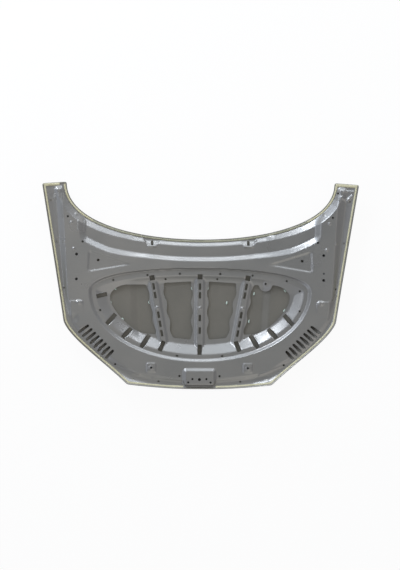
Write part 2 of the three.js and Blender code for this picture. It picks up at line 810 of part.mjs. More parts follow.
// Lower panel of the bonnet, folded over the inner panel's edge all round.
function outerSkin() {
  const crease = [-1, 1].flatMap((hand) => [-0.5, 0.5].map((side) => Array.from({ length: 9 }, (_, i) => {
    const y = mix(noseY + 40, cowlMidY - 20, i / 8);
    return vec(hand * (creaseX(y) + side * creaseWidth(y)), y);
  })));
  const lines = [edgeRing, ...sideLines(), [vec(0, restY)], ...crease];
  const region = meshRegion(outline, lines, 84);
  const rim = region.rim.map((i) => region.points[i]).reverse();
  const hemTop = 2 * skinSheet + panelSheet + 2 * hemGap;
  const above = (lift) => (p) => skinZ(p.x, p.y) + lift;
  const body = makeBody();
  const folded = inset(rim, skinSheet);
  const rimAt = new Map(region.rim.slice().reverse().map((index, i) => [index, i]));
  const lower = body.loop(region.points, above(0));
  const upperPoints = region.points.map((p, i) => (rimAt.has(i) ? folded[rimAt.get(i)] : p));
  const upper = body.loop(upperPoints, above(skinSheet));
  for (const [a, b, c] of region.triangles) {
    body.face(lower[a], lower[c], lower[b]);
    body.face(upper[a], upper[b], upper[c]);
  }
  const order = region.rim.slice().reverse();
  const rings = [
    order.map((i) => lower[i]),
    body.loop(rim, above(hemTop)),
    body.loop(inset(rim, hemWidth), above(hemTop)),
    body.loop(inset(rim, hemWidth), above(hemTop - skinSheet)),
    body.loop(folded, above(hemTop - skinSheet)),
    order.map((i) => upper[i]),
  ];
  for (let i = 1; i < rings.length; i += 1) body.strip(rings[i], rings[i - 1]);
  return fromManifold(toManifold(body));
}

// Upper panel, pressed from one sheet and pierced.
function innerPanel() {
  const loop = inset(outline, panelInset);
  const steps = [...cowlLines(), ...sideLines(), ...shelfEndLines()];
  const shapes = [...recessLines(), ...ribLines(), ...padLines(), ...triangleLines()];
  const region = meshRegion(loop, [edgeRing, ...steps, ...shapes], 96);
  const sheet = toManifold(sheetBody(region, panelZ, (x, y) => panelZ(x, y) + panelSheet));
  const cutters = [
    ...windows.map(cutter), ...holeCutters(), ...wallSlotCutters(), ...ribCutters(),
    ...louvreCutters(), ...jetSlotCutters(),
  ];
  return fromManifold(cutters.reduce((panel, tool) => panel.subtract(tool), sheet));
}

// Flat grid over a rectangle.
function gridRegion(lowX, highX, lowY, highY, columns, rows) {
  const points = [];
  const triangles = [];
  for (let j = 0; j <= rows; j += 1) {
    const y = mix(lowY, highY, j / rows);
    for (let i = 0; i <= columns; i += 1) points.push(vec(mix(lowX, highX, i / columns), y));
  }
  for (let j = 0; j < rows; j += 1) {
    for (let i = 0; i < columns; i += 1) {
      const a = j * (columns + 1) + i;
      triangles.push([a, a + 1, a + columns + 2], [a, a + columns + 2, a + columns + 1]);
    }
  }
  return { points, triangles, rim: orderedRim(triangles) };
}

// Thicker plate under the inner panel, pierced where its bolts pass.
function reinforcement(region, holes) {
  const upperZ = (x, y) => panelZ(x, y) - seatGap;
  const sheet = toManifold(sheetBody(region, (x, y) => upperZ(x, y) - plateSheet, upperZ));
  const pierced = holes.map(([x, y, d]) => cutter(roundPoints(x, y, d, 8)));
  return fromManifold(pierced.reduce((plate, tool) => plate.subtract(tool), sheet));
}

function hingePlate(hand) {
  const middle = hand * hingePlateX;
  const low = middle - hingePlateHalf;
  const high = middle + hingePlateHalf;
  const region = gridRegion(low, high, hingePlateFrontY, hingePlateRearY, 2, 4);
  return reinforcement(region, hingeBoltY.map((y) => [hand * hingeBoltX, y, boltHole]));
}

function latchPlate() {
  const frontY = noseY + flangeNarrow + padSlope + 5;
  const region = gridRegion(4 - latchHalf, latchHalf - 4, frontY, latchRearY - 3, 4, 2);
  const striker = [-1, 1].map((hand) => [hand * strikerBoltX, strikerBoltY, smallHole]);
  const small = [-1, 1].map((hand) => [hand * 33, -446, smallHole]);
  return reinforcement(region, [...striker, ...small, [0, -448, boltHole]]);
}

// Hexagon weld nut with its bore.
function nutGeometry() {
  const shape = new THREE.Shape(roundPoints(0, 0, nutAcross / Math.cos(Math.PI / 6), 6));
  shape.holes.push(new THREE.Path(roundPoints(0, 0, nutBore, 8).reverse()));
  return new THREE.ExtrudeGeometry(shape, { depth: nutHeight, bevelEnabled: false });
}

// Sealer bead along a stretch of the outline, lying on the hem and on the flange beside it.
function beadGeometry(first, last) {
  const onFlange = skinSheet + hemGap + panelSheet + beadGap;
  const onHem = onFlange + hemGap + skinSheet;
  const section = [
    [beadOuter, onHem],
    [hemWidth + beadGap, onHem],
    [hemWidth + beadGap, onFlange],
    [beadInner, onFlange],
    [mix(beadOuter, beadInner, 0.78), onHem + beadCrown / 2],
    [mix(beadOuter, beadInner, 0.3), onHem + beadCrown],
  ];
  const count = outline.length;
  const stations = Array.from({ length: last - first + 1 }, (_, i) => (first + i + count) % count);
  const trim = (line) => {
    const shorten = (a, b) => a.clone().lerp(b, beadGap / a.distanceTo(b));
    return [shorten(line[0], line[1]), ...line.slice(1, -1), shorten(line.at(-1), line.at(-2))];
  };
  const body = makeBody();
  const rails = section.map(([step, lift]) => {
    const moved = inset(outline, step);
    return body.loop(trim(stations.map((i) => moved[i])), (p) => skinZ(p.x, p.y) + lift);
  });
  rails.forEach((rail, i) => body.strip(rail, rails[(i + 1) % rails.length], false));
  const end = stations.length - 1;
  const turned = [...rails.slice(1), rails[0]];
  for (let i = 1; i < rails.length - 1; i += 1) {
    body.face(turned[0][0], turned[i][0], turned[i + 1][0]);
    body.face(turned[0][end], turned[i + 1][end], turned[i][end]);
  }
  return fromManifold(toManifold(body));
}

// Drop of mastic squeezed out under a window flange.
function masticGeometry(length, width) {
  const height = windowLift - 3 * seatGap;
  return new THREE.SphereGeometry(0.5, 8, 5).rotateX(Math.PI / 2).scale(length, width, height);
}

const paint = { color: 0x787873, roughness: 0.38, metalness: 0.35 };
const bare = { color: 0x8d8f90, roughness: 0.35, metalness: 0.9 };
const sealer = { color: 0xddd8b4, roughness: 0.6, metalness: 0 };
const mastic = { color: 0x9fb3a0, roughness: 0.45, metalness: 0 };

const bonnet = new THREE.Group();
bonnet.position.set(0, -(hornInnerY + noseY) / 2, 0);

function addMesh(name, geometry, look) {
  const mesh = new THREE.Mesh(geometry, new THREE.MeshStandardMaterial(look));
  mesh.name = name;
  bonnet.add(mesh);
  return mesh;
}

// Sets a piece square to a surface, at a given height above it.
function setOn(mesh, surfaceZ, x, y, height) {
  const slopeX = (surfaceZ(x + 1, y) - surfaceZ(x - 1, y)) / 2;
  const slopeY = (surfaceZ(x, y + 1) - surfaceZ(x, y - 1)) / 2;
  const normal = new THREE.Vector3(-slopeX, -slopeY, 1).normalize();
  mesh.quaternion.setFromUnitVectors(new THREE.Vector3(0, 0, 1), normal);
  mesh.position.set(x, y, surfaceZ(x, y)).addScaledVector(normal, height);
}

function addNuts() {
  const depth = 2 * seatGap + plateSheet + nutHeight;
  for (const [hand, side] of [[-1, 'left'], [1, 'right']]) {
    const places = [['rear', hingeBoltY[0]], ['front', hingeBoltY[1]]];
    for (const [place, y] of places) {
      const nut = addMesh(`hinge_weld_nut_${side}_${place}`, nutGeometry(), bare);
      setOn(nut, panelZ, hand * hingeBoltX, y, -depth);
    }
    const nut = addMesh(`striker_weld_nut_${side}`, nutGeometry(), bare);
    setOn(nut, panelZ, hand * strikerBoltX, strikerBoltY, -depth);
  }
}

// The sealer was laid in strokes, with a break in the middle of the nose.
function addBeads() {
  const count = outline.length;
  const cowlEnd = sides.cowl.length;
  const hornEnd = cowlEnd + sides.horn.length;
  const sideEnd = hornEnd + sides.side.length;
  const diagonalEnd = sideEnd + sides.diagonal.length;
  const strokes = [
    ['rear', 0, cowlEnd],
    ['horn', cowlEnd, hornEnd],
    ['side', hornEnd, sideEnd],
    ['diagonal', sideEnd, diagonalEnd],
    ['front', diagonalEnd, diagonalEnd + sides.nose.length - 2],
  ];
  for (const [name, first, last] of strokes) {
    addMesh(`hem_sealer_${name}_right`, beadGeometry(first, last), sealer);
    const shortened = name === 'horn' ? last : count - first;
    const start = name === 'horn' ? count - last : count - last;
    addMesh(`hem_sealer_${name}_left`, beadGeometry(start, name === 'horn' ? start + 2 : shortened), sealer);
  }
}

// Mastic drops at the scallops of the window edges, clockwise from the left window.
function addMastic() {
  const places = [
    [-404, -21, -40, 16, 8], [-425, -88, 80, 18, 8], [-368, -164, 135, 16, 8],
    [-242, -84, 95, 16, 8], [-38, -14, 90, 20, 8], [-38, -85, 90, 22, 8],
    [-38, -168, 90, 20, 8], [38, -14, 90, 18, 8], [38, -168, 90, 16, 8],
    [128, -85, 80, 16, 8], [258, -40, 80, 16, 8], [234, -172, 80, 16, 8],
    [405, -25, 130, 18, 8], [402, -120, 60, 18, 8],
  ];
  places.forEach(([x, y, turn, length, width], i) => {
    const name = `mastic_drop_${String(i + 1).padStart(2, '0')}`;
    const drop = addMesh(name, masticGeometry(length, width), mastic);
    setOn(drop, skinZ, x, y, skinSheet + windowLift / 2 + seatGap / 4);
    drop.rotateZ(THREE.MathUtils.degToRad(turn));
  });
}

addMesh('outer_skin', outerSkin(), paint);
addMesh('inner_panel', innerPanel(), paint);
addMesh('latch_reinforcement', latchPlate(), bare);
addMesh('hinge_reinforcement_left', hingePlate(-1), bare);
addMesh('hinge_reinforcement_right', hingePlate(1), bare);
addNuts();
addBeads();
addMastic();

export default bonnet;
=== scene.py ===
"""Looks of a bare car bonnet that lies on its outer skin, with its inner side up.

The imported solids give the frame. The two pressed panels are rebuilt here from the same sizes with
rounded presswork, the sealer and the mastic get their laid-on look, and the scene gets its light,
its floor and a camera that looks straight down as the photograph does.
"""

import logging
import math
from collections.abc import Callable, Sequence
from dataclasses import dataclass, field
from enum import Enum

import bmesh
import bpy
import numpy as np
from mathutils import Matrix, Vector
from mathutils.geometry import delaunay_2d_cdt


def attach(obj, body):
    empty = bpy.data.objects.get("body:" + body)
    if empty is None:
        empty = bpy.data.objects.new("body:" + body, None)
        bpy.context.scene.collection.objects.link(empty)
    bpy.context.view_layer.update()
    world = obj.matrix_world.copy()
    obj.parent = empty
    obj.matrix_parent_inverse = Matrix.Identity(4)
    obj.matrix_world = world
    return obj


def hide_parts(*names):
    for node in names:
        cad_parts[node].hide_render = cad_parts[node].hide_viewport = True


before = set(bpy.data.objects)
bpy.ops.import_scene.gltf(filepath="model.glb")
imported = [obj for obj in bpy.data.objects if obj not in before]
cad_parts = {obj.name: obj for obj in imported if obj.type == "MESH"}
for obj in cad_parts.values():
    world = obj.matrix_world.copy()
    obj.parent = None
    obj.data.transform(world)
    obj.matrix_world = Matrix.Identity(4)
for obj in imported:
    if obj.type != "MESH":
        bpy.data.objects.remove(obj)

LOG = logging.getLogger("bonnet")
Array = np.ndarray
MM = 0.001


class Slot(Enum):
    """Material slots of the record."""

    PRIMER = "primer"
    STEEL = "bare_steel"
    SEALER = "sealer"
    MASTIC = "mastic"


class Side(Enum):
    """Sides of the bonnet as the camera sees them."""

    LEFT = -1
    RIGHT = 1

    @property
    def word(self) -> str:
        """Word that the names of the nodes use."""
        return self.name.lower()


@dataclass(frozen=True)
class Pad:
    """Flat-topped rectangular emboss, in millimetres.

    The middle, the half sizes, the width of the slopes and the rise come first. The plane of its top touches
    the main level at middle_y, and tilt is added to its slope along the bonnet.
    """

    x: float
    y: float
    half_x: float
    half_y: float
    slope: float
    rise: float
    middle_y: float
    tilt: float = 0


@dataclass(frozen=True)
class Dimple:
    """Round emboss: middle, radius of its flat top, width of its slope and rise, in millimetres."""

    x: float
    y: float
    top: float
    slope: float
    rise: float


@dataclass(frozen=True)
class Ridge:
    """Thin raised line in the sheet: ends, half width of its crest, width of its slopes and rise."""

    start: tuple[float, float]
    end: tuple[float, float]
    crest: float
    slope: float
    rise: float


@dataclass(frozen=True)
class Sizes:
    """Driving sizes in millimetres; those that the solids have too are the same there."""

    cowl_mid_y: float = 217
    cowl_reach: float = 324
    horn_inner: tuple[float, float] = (635, 487)
    horn_tip: tuple[float, float] = (751, 478)
    horn_lean: float = 5
    horn_run: float = 186
    corner: tuple[float, float] = (645, -176)
    nose_corner: tuple[float, float] = (342, -473)
    nose_y: float = -494
    sheet: float = 1.0
    hem_gap: float = 0.45
    hem_width: float = 8
    panel_inset: float = 1.8
    rest_y: float = -40
    crown: float = 38
    side_roll: float = 22
    nose_fall: float = 20
    nose_roll: float = 49
    rear_rise: float = 18
    corner_roll: float = 18
    bulge: float = 7
    bulge_blend: float = 34
    bulge_blend_nose: float = 84
    crease_fade_y: float = -300
    crease_rear_x: float = 348
    crease_nose_x: float = 291
    plateau_front: float = 50
    plateau_rear: float = 28
    rear_end_lift: float = 8
    rear_lift_start: float = 150
    rear_lift_stop: float = 500
    shelf_lift: float = 18
    shelf_blend: float = 240
    window_lift: float = 8
    ledge_drop: float = 12.5
    nose_droop: float = 8
    corner_droop: float = 12
    flange_narrow: float = 14.5
    flange_side: float = 24
    flange_horn: float = 48
    cowl_slope: float = 19
    cowl_slope_end: float = 34
    shelf_widths: tuple[float, float, float] = (50, 55, 43)
    upper_slope: float = 20
    upper_slope_end: float = 29
    shelf_end_x: float = 545
    shelf_end_slope: float = 28
    side_slope_rear: float = 40
    side_slope_front: float = 14
    diagonal_slope: float = 30
    nose_corner_slope: float = 46
    nose_slope: float = 34
    recess_x: float = 528
    recess_side_y: float = -28
    recess_rear_y: float = 81
    recess_front_y: float = -365
    rib_lift: float = 19
    rib_top_half: float = 14
    rib_foot_half: float = 27
    rib_rear: tuple[float, float] = (228, 33)
    rib_front: tuple[float, float] = (171, -285)
    triangle_depth: float = 5
    triangle_slope: float = 8
    small_hole: float = 10
    bolt_hole: float = 14
    gauge_hole: float = 13
    plate_x: float = 582
    diagonal_bends: tuple[tuple[float, float], ...] = ((-35, -86), (108, 103))
    recess_front_reach: float = 299
    recess_rear_reach: float = 300
    recess_side_front: float = 190
    recess_side_rear: float = 73
    recess_turn_y: tuple[float, float] = (-20, 50)
    recess_steps: tuple[tuple[float, float], ...] = ((14, 5), (33, 38), (83, 51))
    rib_middle_shift: float = 6
    latch_rear_y: float = -409
    latch_half: float = 66
    latch_overrun: float = 60
    latch_slope: float = 15
    latch_side_slope: float = 6
    latch_rise: float = 10
    latch_fade_y: tuple[float, float] = (-300, -400)
    crease_round: float = 0.09
    shelf_round: float = 0.3
    shelf_stations: tuple[float, float, float] = (0, 430, 545)
    cowl_widen: tuple[float, float] = (260, 620)
    upper_widen: tuple[float, float] = (200, 540)
    plateau_turn_y: tuple[float, float] = (-300, 200)
    facet_halves: tuple[float, float] = (19, 37)
    facet_reach: tuple[float, float] = (-10, 26)
    facet_slope: float = 5
    facet_tilt: float = 0.62
    corner_blend: tuple[float, float] = (-20, 130)
    horn_blend: float = 46
    nose_blend: tuple[float, float] = (90, 290)
    diagonal_blend: tuple[float, float] = (-20, 80)


SIZES = Sizes()
SHIFT_Y = -(SIZES.horn_inner[1] + SIZES.nose_y) / 2
HANDS = tuple(side.value for side in Side)
SHARP_ANGLE = math.radians(42)
ROW_PITCH = 0.87
CLEAR_SHARE = 0.55
SAME_POINT = 1e-6
NO_AREA = 1e-9


def ramp(low: float | Array, high: float | Array, value: Array) -> Array:
    """Goes from 0 at low to 1 at high."""
    return np.clip((value - low) / (high - low), 0.0, 1.0)


def soft_ramp(low: float | Array, high: float | Array, value: Array, radius: float = 4.0) -> Array:
    """Ramp whose two bends are rounded as a pressed sheet's are.

    Args:
        low: Where the straight ramp would start.
        high: Where it would end.
        value: Places along it.
        radius: How far each bend reaches to either side.

    Returns:
        The share of the way up at each place.
    """
    width = high - low

    def area(place: Array) -> Array:
        """Area under the straight ramp up to a place."""
        inside = np.clip(place - low, 0.0, width)
        return inside**2 / (2 * width) + np.maximum(place - high, 0.0)

    return (area(value + radius) - area(value - radius)) / (2 * radius)


def mix(low: float | Array, high: float | Array, share: float | Array) -> Array:
    """Blends two values."""
    return low + (high - low) * share


def soft_max(first: Array, second: Array, radius: float) -> Array:
    """Larger of two heights, with a fillet where they meet."""
    near = np.maximum(radius - np.abs(first - second), 0.0)
    return np.maximum(first, second) + near**2 / (4 * radius)


def level_at(surface: Callable, x: float, y: float) -> float:
    """Height of a surface at one place."""
    return float(surface(np.array([x]), np.array([y]))[0])


def tangent_at(surface: Callable, x: float, y: float, step: float) -> tuple[float, float, float]:
    """Height and slopes of a surface at one place.

    Args:
        surface: Height function of x and y.
        x: X of the place.
        y: Y of the place.
        step: How far to either side the slopes are taken.

    Returns:
        The height, the slope along x and the slope along y.
    """
    slope_x = (level_at(surface, x + step, y) - level_at(surface, x - step, y)) / (2 * step)
    slope_y = (level_at(surface, x, y + step) - level_at(surface, x, y - step)) / (2 * step)
    return level_at(surface, x, y), slope_x, slope_y


def bezier(controls: Sequence[tuple[float, float]], spacing: float) -> Array:
    """Evenly spaced points along a cubic curve, without its last point.

    Args:
        controls: Four control points.
        spacing: Distance between points.

    Returns:
        Points as rows.
    """
    p = np.array(controls, dtype=float)
    t = np.linspace(0, 1, 400)[:, None]
    dense = (1 - t) ** 3 * p[0] + 3 * (1 - t) ** 2 * t * p[1] + 3 * (1 - t) * t**2 * p[2] + t**3 * p[3]
    return resample(dense, spacing)[:-1]


def resample(line: Array, spacing: float) -> Array:
    """Evenly spaced points along a polyline, both ends kept.

    Args:
        line: Points as rows.
        spacing: Distance between points.

    Returns:
        The new points.
    """
    steps = np.hypot(*np.diff(line, axis=0).T)
    along = np.concatenate([[0], np.cumsum(steps)])
    count = max(1, round(along[-1] / spacing))
    places = np.linspace(0, along[-1], count + 1)
    return np.column_stack([np.interp(places, along, line[:, k]) for k in (0, 1)])


def mirrored(line: Array) -> Array:
    """Mirror image of a line, in reverse order."""
    return (line * (-1, 1))[::-1]


def line_distance(line: Array, x: Array, y: Array) -> Array:
    """Distance of points from a polyline.

    Args:
        line: Points of the polyline as rows.
        x: X of the points.
        y: Y of the points.

    Returns:
        The distances.
    """
    nearest = np.full(x.shape, np.inf)
    for (ax, ay), (bx, by) in zip(line[:-1], line[1:]):
        dx, dy = bx - ax, by - ay
        t = np.clip(((x - ax) * dx + (y - ay) * dy) / (dx * dx + dy * dy + 1e-12), 0, 1)
        nearest = np.minimum(nearest, (x - ax - t * dx) ** 2 + (y - ay - t * dy) ** 2)
    return np.sqrt(nearest)


def inside_loop(loop: Array, x: Array, y: Array) -> Array:
    """Tells which points lie inside a closed loop.

    Args:
        loop: Points of the loop as rows.
        x: X of the points.
        y: Y of the points.

    Returns:
        True for each point inside.
    """
    inside = np.zeros(x.shape, dtype=bool)
    box = (x >= loop[:, 0].min()) & (x <= loop[:, 0].max())
    box &= (y >= loop[:, 1].min()) & (y <= loop[:, 1].max())
    px, py = x[box], y[box]
    odd = np.zeros(px.shape, dtype=bool)
    for (ax, ay), (bx, by) in zip(loop, np.roll(loop, -1, axis=0)):
        if ay != by:
            crosses = ((ay > py) != (by > py)) & (px < ax + (bx - ax) * (py - ay) / (by - ay))
            odd ^= crosses
    inside[box] = odd
    return inside


class Outline:
    """Outer edge of the bonnet, and loops inside it that keep its corners mitred."""

    def __init__(self, spacing: float) -> None:
        """Draws the outline.

        Args:
            spacing: About how far apart its points are.
        """
        s = SIZES
        lean = (s.horn_inner[0] + s.horn_lean, s.horn_inner[1] - s.horn_run)
        start, end = s.corner, s.nose_corner
        quarter = (end[0] / 4, s.nose_y)
        self.cowl = bezier([(0, s.cowl_mid_y), (s.cowl_reach, s.cowl_mid_y), lean, s.horn_inner], spacing)
        self.horn = resample(np.array([s.horn_inner, s.horn_tip], dtype=float), spacing)[:-1]
        self.side = resample(np.array([s.horn_tip, s.corner], dtype=float), spacing)[:-1]
        bends = [(x + dx, y + dy) for (x, y), (dx, dy) in zip((start, end), s.diagonal_bends)]
        self.diagonal = bezier([start, *bends, end], spacing)
        self.nose = bezier([end, (end[0] / 2, s.nose_y + 1), quarter, (0, s.nose_y)], spacing)
        right = np.vstack([self.cowl, self.horn, self.side, self.diagonal, self.nose])
        nose_mid = np.array([[0, s.nose_y]])
        self.right = np.vstack([right, nose_mid])
        self.loop = np.vstack([right, nose_mid, mirrored(right[1:])])
        self.cowl_line = np.vstack([self.cowl, self.horn[:1]])
        self.horn_line = np.vstack([self.horn, self.side[:1]])
        self.side_line = np.vstack([self.side, self.diagonal, self.nose, nose_mid])
        lengths = np.cumsum([len(self.cowl), len(self.horn), len(self.side), len(self.diagonal)])
        self.breaks = [int(n) for n in lengths]

    def inset(self, distance: float, rounding: int = 2) -> Array:
        """Loop moved inwards, with stations that stay in step with the outer loop.

        Args:
            distance: How far inwards.
            rounding: How many times the corners are smoothed.

        Returns:
            Points as rows, as many as the outer loop has.
        """
        loop = self.loop
        count = len(loop)
        before = loop - np.roll(loop, 1, axis=0)
        after = np.roll(loop, -1, axis=0) - loop
        before /= np.hypot(*before.T)[:, None]
        after /= np.hypot(*after.T)[:, None]
        share = 1 + (before * after).sum(axis=1)
        mitre = np.column_stack([before[:, 1] + after[:, 1], -before[:, 0] - after[:, 0]]) / share[:, None]
        moved = loop + mitre * distance
        corners = self.breaks + [count - c for c in self.breaks]
        reach = 5
        for corner in corners:
            for side, tangent in ((-1, before[corner % count]), (1, -after[corner % count])):
                slide = (mitre[corner % count] * tangent).sum() * distance
                for k in range(1, reach):
                    index = (corner + side * k) % count
                    moved[index] += tangent * slide * (1 - k / reach)
        for _ in range(rounding):
            blend = (np.roll(moved, 1, axis=0) + 2 * moved + np.roll(moved, -1, axis=0)) / 4
            near = np.zeros(count, dtype=bool)
            for corner in corners:
                near[[(corner + k) % count for k in (-1, 0, 1)]] = True
            moved[near] = blend[near]
        return moved


EDGE = Outline(7.0)
COARSE = Outline(24.0)


def recess_rim(spacing: float) -> Array:
    """Outline of the large D recess.

    Args:
        spacing: Distance between points.

    Returns:
        Closed loop of points as rows, anticlockwise.
    """
    s = SIZES
    front_y, rear_y, side = s.recess_front_y, s.recess_rear_y, (s.recess_x, s.recess_side_y)
    front = [(0, front_y), (s.recess_front_reach, front_y), (side[0], side[1] - s.recess_side_front), side]
    rear = [side, (side[0], side[1] + s.recess_side_rear), (s.recess_rear_reach, rear_y), (0, rear_y)]
    right = np.vstack([bezier(front, spacing), bezier(rear, spacing)])
    return np.vstack([right, [[0, s.recess_rear_y]], mirrored(right[1:])])


class Rib:
    """One of the ribs across the recess."""

    def __init__(self, hand: int) -> None:
        """Places the rib.

        Args:
            hand: Where it lies: -1 on the left, 0 in the middle, 1 on the right.
        """
        s = SIZES
        shift = 0 if hand else s.rib_middle_shift
        self.hand = hand
        self.rear = np.array([hand * s.rib_rear[0], s.rib_rear[1] + shift], dtype=float)
        self.front = np.array([hand * s.rib_front[0], s.rib_front[1]], dtype=float)
        self.along = (self.front - self.rear) / np.hypot(*(self.front - self.rear))

    def at(self, y: float | Array) -> Array:
        """X of the rib's axis."""
        share = (self.rear[1] - y) / (self.rear[1] - self.front[1])
        return mix(self.rear[0], self.front[0], share)

    def distance(self, x: Array, y: Array) -> Array:
        """Distance from the rib's axis."""
        return line_distance(np.vstack([self.rear, self.front]), x, y)


class Presswork:
    """Heights of the outer skin and of the inner panel, in millimetres."""

    def __init__(self) -> None:
        """Places the ribs, pads, dimples and ridges."""
        s = SIZES
        self.ribs = [Rib(-1), Rib(0), Rib(1)]
        self.rim = recess_rim(18.0)
        front_y = s.nose_y - s.latch_overrun
        place_y, half_y = (s.latch_rear_y + front_y) / 2, (s.latch_rear_y - front_y) / 2
        middle_y = (s.latch_rear_y + s.nose_y) / 2
        self.latch = Pad(0, place_y, s.latch_half, half_y, s.latch_slope, s.latch_rise, middle_y)
        self.pads = [self.latch]
        self.jets = []
        for hand in HANDS:
            self.pads.append(Pad(hand * 229, -393, 19, 19, 6, 4, -393))
            self.pads.append(Pad(hand * 585, -108, 28, 28, 6, 2, -108, 0.07))
            self.pads.append(Pad(hand * s.plate_x, 83, 29, 98, 6, 0, 83))
            self.jets.append(Pad(hand * 229, 193, 26, 9, 8, 0, 193))
        self.triangle = np.array([(312, 96), (536, 58), (532, 165)], dtype=float)
        self.dimples = self.make_dimples()
        self.ridges = self.make_ridges()

    def make_dimples(self) -> list[Dimple]:
        """Small round embosses round holes, on the ribs and on the side pads.

        Returns:
            The embosses.
        """
        dimples = []
        for x, y in ((573, -84), (229, -393)):
            dimples += [Dimple(hand * x, y, 6, 9, 3.4) for hand in HANDS]
        for x, y in ((646, 200), (612, 294), (600, 170), (588, 336)):
            dimples += [Dimple(hand * x, y, 2.5, 5.5, 4.2) for hand in HANDS]
        for rib in self.ribs:
            dimples.append(Dimple(float(rib.at(-109)), -109, 3, 6, 4.6))
        dimples.append(Dimple(-597, -160, 4, 22, -3.5))
        dimples.append(Dimple(312, 7, 8, 4, 1.5))
        return dimples

    def make_ridges(self) -> list[Ridge]:
        """Folds at the horn tips, crease lines along the nose and stretch lines in the left rear corner.

        Returns:
            The ridges.
        """
        ridges = []
        for hand, share in ((-1, 0.25), (1, 1)):
            ridges.append(Ridge((hand * 661, 450), (hand * 724, 445), 1.5, 5.5, share * 4.8))
            ridges.append(Ridge((hand * 671, 420), (hand * 698, 404), 3, 7, share * 3.4))
            ridges.append(Ridge((hand * 698, 404), (hand * 717, 424), 3, 7, share * 3.4))
            ridges.append(Ridge((hand * 395, -381), (hand * 285, -425), 1, 5, 2.4))
            ridges.append(Ridge((hand * 220, -441), (hand * 82, -451), 1, 5, 2.0))
        for start, end in (((-692, 427), (-678, 225)), ((-655, 428), (-650, 315))):
            ridges.append(Ridge(start, end, 1.5, 4, 2.2))
        for x in (-578, -549):
            ridges.append(Ridge((x, 299), (x, 255), 1.5, 4, 2.2))
        return ridges

    def side_x(self, y: Array) -> Array:
        """Half the width of the bonnet along its length."""
        s = SIZES
        return mix(s.corner[0], s.horn_tip[0], (y - s.corner[1]) / (s.horn_tip[1] - s.corner[1]))

    def crown_z(self, x: Array, y: Array) -> Array:
        """Broad crown that both panels share.

        Args:
            x: X of the points.
            y: Y of the points.

        Returns:
            Heights.
        """
        s = SIZES
        across = np.abs(x) / self.side_x(y)
        forward = np.maximum(0, (s.rest_y - y) / (s.rest_y - s.nose_y))
        rearward = np.maximum(0, (y - s.rest_y) / (s.horn_inner[1] - s.rest_y))
        return s.crown * across**2 + s.nose_fall * forward**2 + s.rear_rise * rearward**2

    def edge_shares(self, x: Array, y: Array) -> tuple[Array, Array]:
        """Shares of the way to the nose and to the diagonal edge, 1 on the edge itself.

        Args:
            x: X of the points.
            y: Y of the points.

        Returns:
            The share to the nose and the share to the diagonal edge.
        """
        s = SIZES
        run_x, run_y = s.corner[0] - s.nose_corner[0], s.corner[1] - s.nose_corner[1]
        cross = np.abs(x) * run_y - y * run_x
        diagonal = np.maximum(0, cross / (s.corner[0] * run_y - s.corner[1] * run_x))
        return np.maximum(0, (s.rest_y - y) / (s.rest_y - s.nose_y)), diagonal

    def bulged_z(self, x: Array, y: Array, width: float | Array, round_off: float) -> Array:
        """Height of the skin where its step beside the centre bulge has the given width.

        Args:
            x: X of the points.
            y: Y of the points.
            width: Width of the step.
            round_off: Share of the width that rounds each end of the step.

        Returns:
            Heights.
        """
        s = SIZES
        across = np.abs(x) / self.side_x(y)
        forward, diagonal = self.edge_shares(x, y)
        rolls = s.side_roll * across**8 + s.nose_roll * forward**5 + s.corner_roll * diagonal**8
        crease = mix(s.crease_nose_x, s.crease_rear_x, (y - s.nose_y) / (s.horn_inner[1] - s.nose_y))
        step = soft_ramp(-0.5, 0.5, (np.abs(x) - crease) / width, round_off)
        return self.crown_z(x, y) + rolls + s.bulge * step

    def skin_z(self, x: Array, y: Array) -> Array:
        """Outer face of the skin."""
        share = ramp(SIZES.crease_fade_y, SIZES.nose_y, y)
        return self.bulged_z(x, y, mix(SIZES.bulge_blend, SIZES.bulge_blend_nose, share), SIZES.crease_round)

    def plateau_z(self, x: Array, y: Array) -> Array:
        """Main level of the inner panel.

        Args:
            x: X of the points.
            y: Y of the points.

        Returns:
            Heights.
        """
        s = SIZES
        forward, diagonal = self.edge_shares(x, y)
        droop = s.nose_droop * forward**8 + s.corner_droop * diagonal**6
        rear = s.plateau_rear + s.rear_end_lift * ramp(s.rear_lift_start, s.rear_lift_stop, np.abs(x))
        level = mix(s.plateau_front, rear, ramp(*s.plateau_turn_y, y))
        return self.crown_z(x, y) + s.bulge + level - droop

    @staticmethod
    def mask(pad: Pad, x: Array, y: Array) -> Array:
        """Share of a pad's own level at each point.

        Args:
            pad: The pad.
            x: X of the points.
            y: Y of the points.

        Returns:
            1 on the pad, 0 away from it.
        """
        qx = np.abs(x - pad.x) - pad.half_x
        qy = np.abs(y - pad.y) - pad.half_y
        corner = 5.0
        outside = np.hypot(np.maximum(qx + corner, 0), np.maximum(qy + corner, 0)) - corner
        outside += np.minimum(np.maximum(qx, qy) + corner, 0)
        return 1 - soft_ramp(0, pad.slope, outside, min(3.0, pad.slope / 2.2))

    @staticmethod
    def facet_mask(pad: Pad, x: Array, y: Array) -> Array:
        """Share of a jet facet's own level; the facet is wider towards the windscreen edge.

        Args:
            pad: The facet.
            x: X of the points.
            y: Y of the points.

        Returns:
            1 on the facet, 0 away from it.
        """
        s = SIZES
        front_y, rear_y = (pad.y + reach for reach in s.facet_reach)
        beside = np.abs(x - pad.x) - mix(*s.facet_halves, ramp(front_y, rear_y, y))
        return 1 - soft_ramp(0, s.facet_slope, soft_max(beside, front_y - y, 3), radius=1.6)

    def pad_z(self, pad: Pad, x: Array, y: Array) -> Array:
        """Plane of a pad's flat top."""
        base, slope_x, slope_y = tangent_at(self.plateau_z, pad.x, pad.middle_y, 5)
        return base + pad.rise + slope_x * (x - pad.x) + (slope_y + pad.tilt) * (y - pad.middle_y)

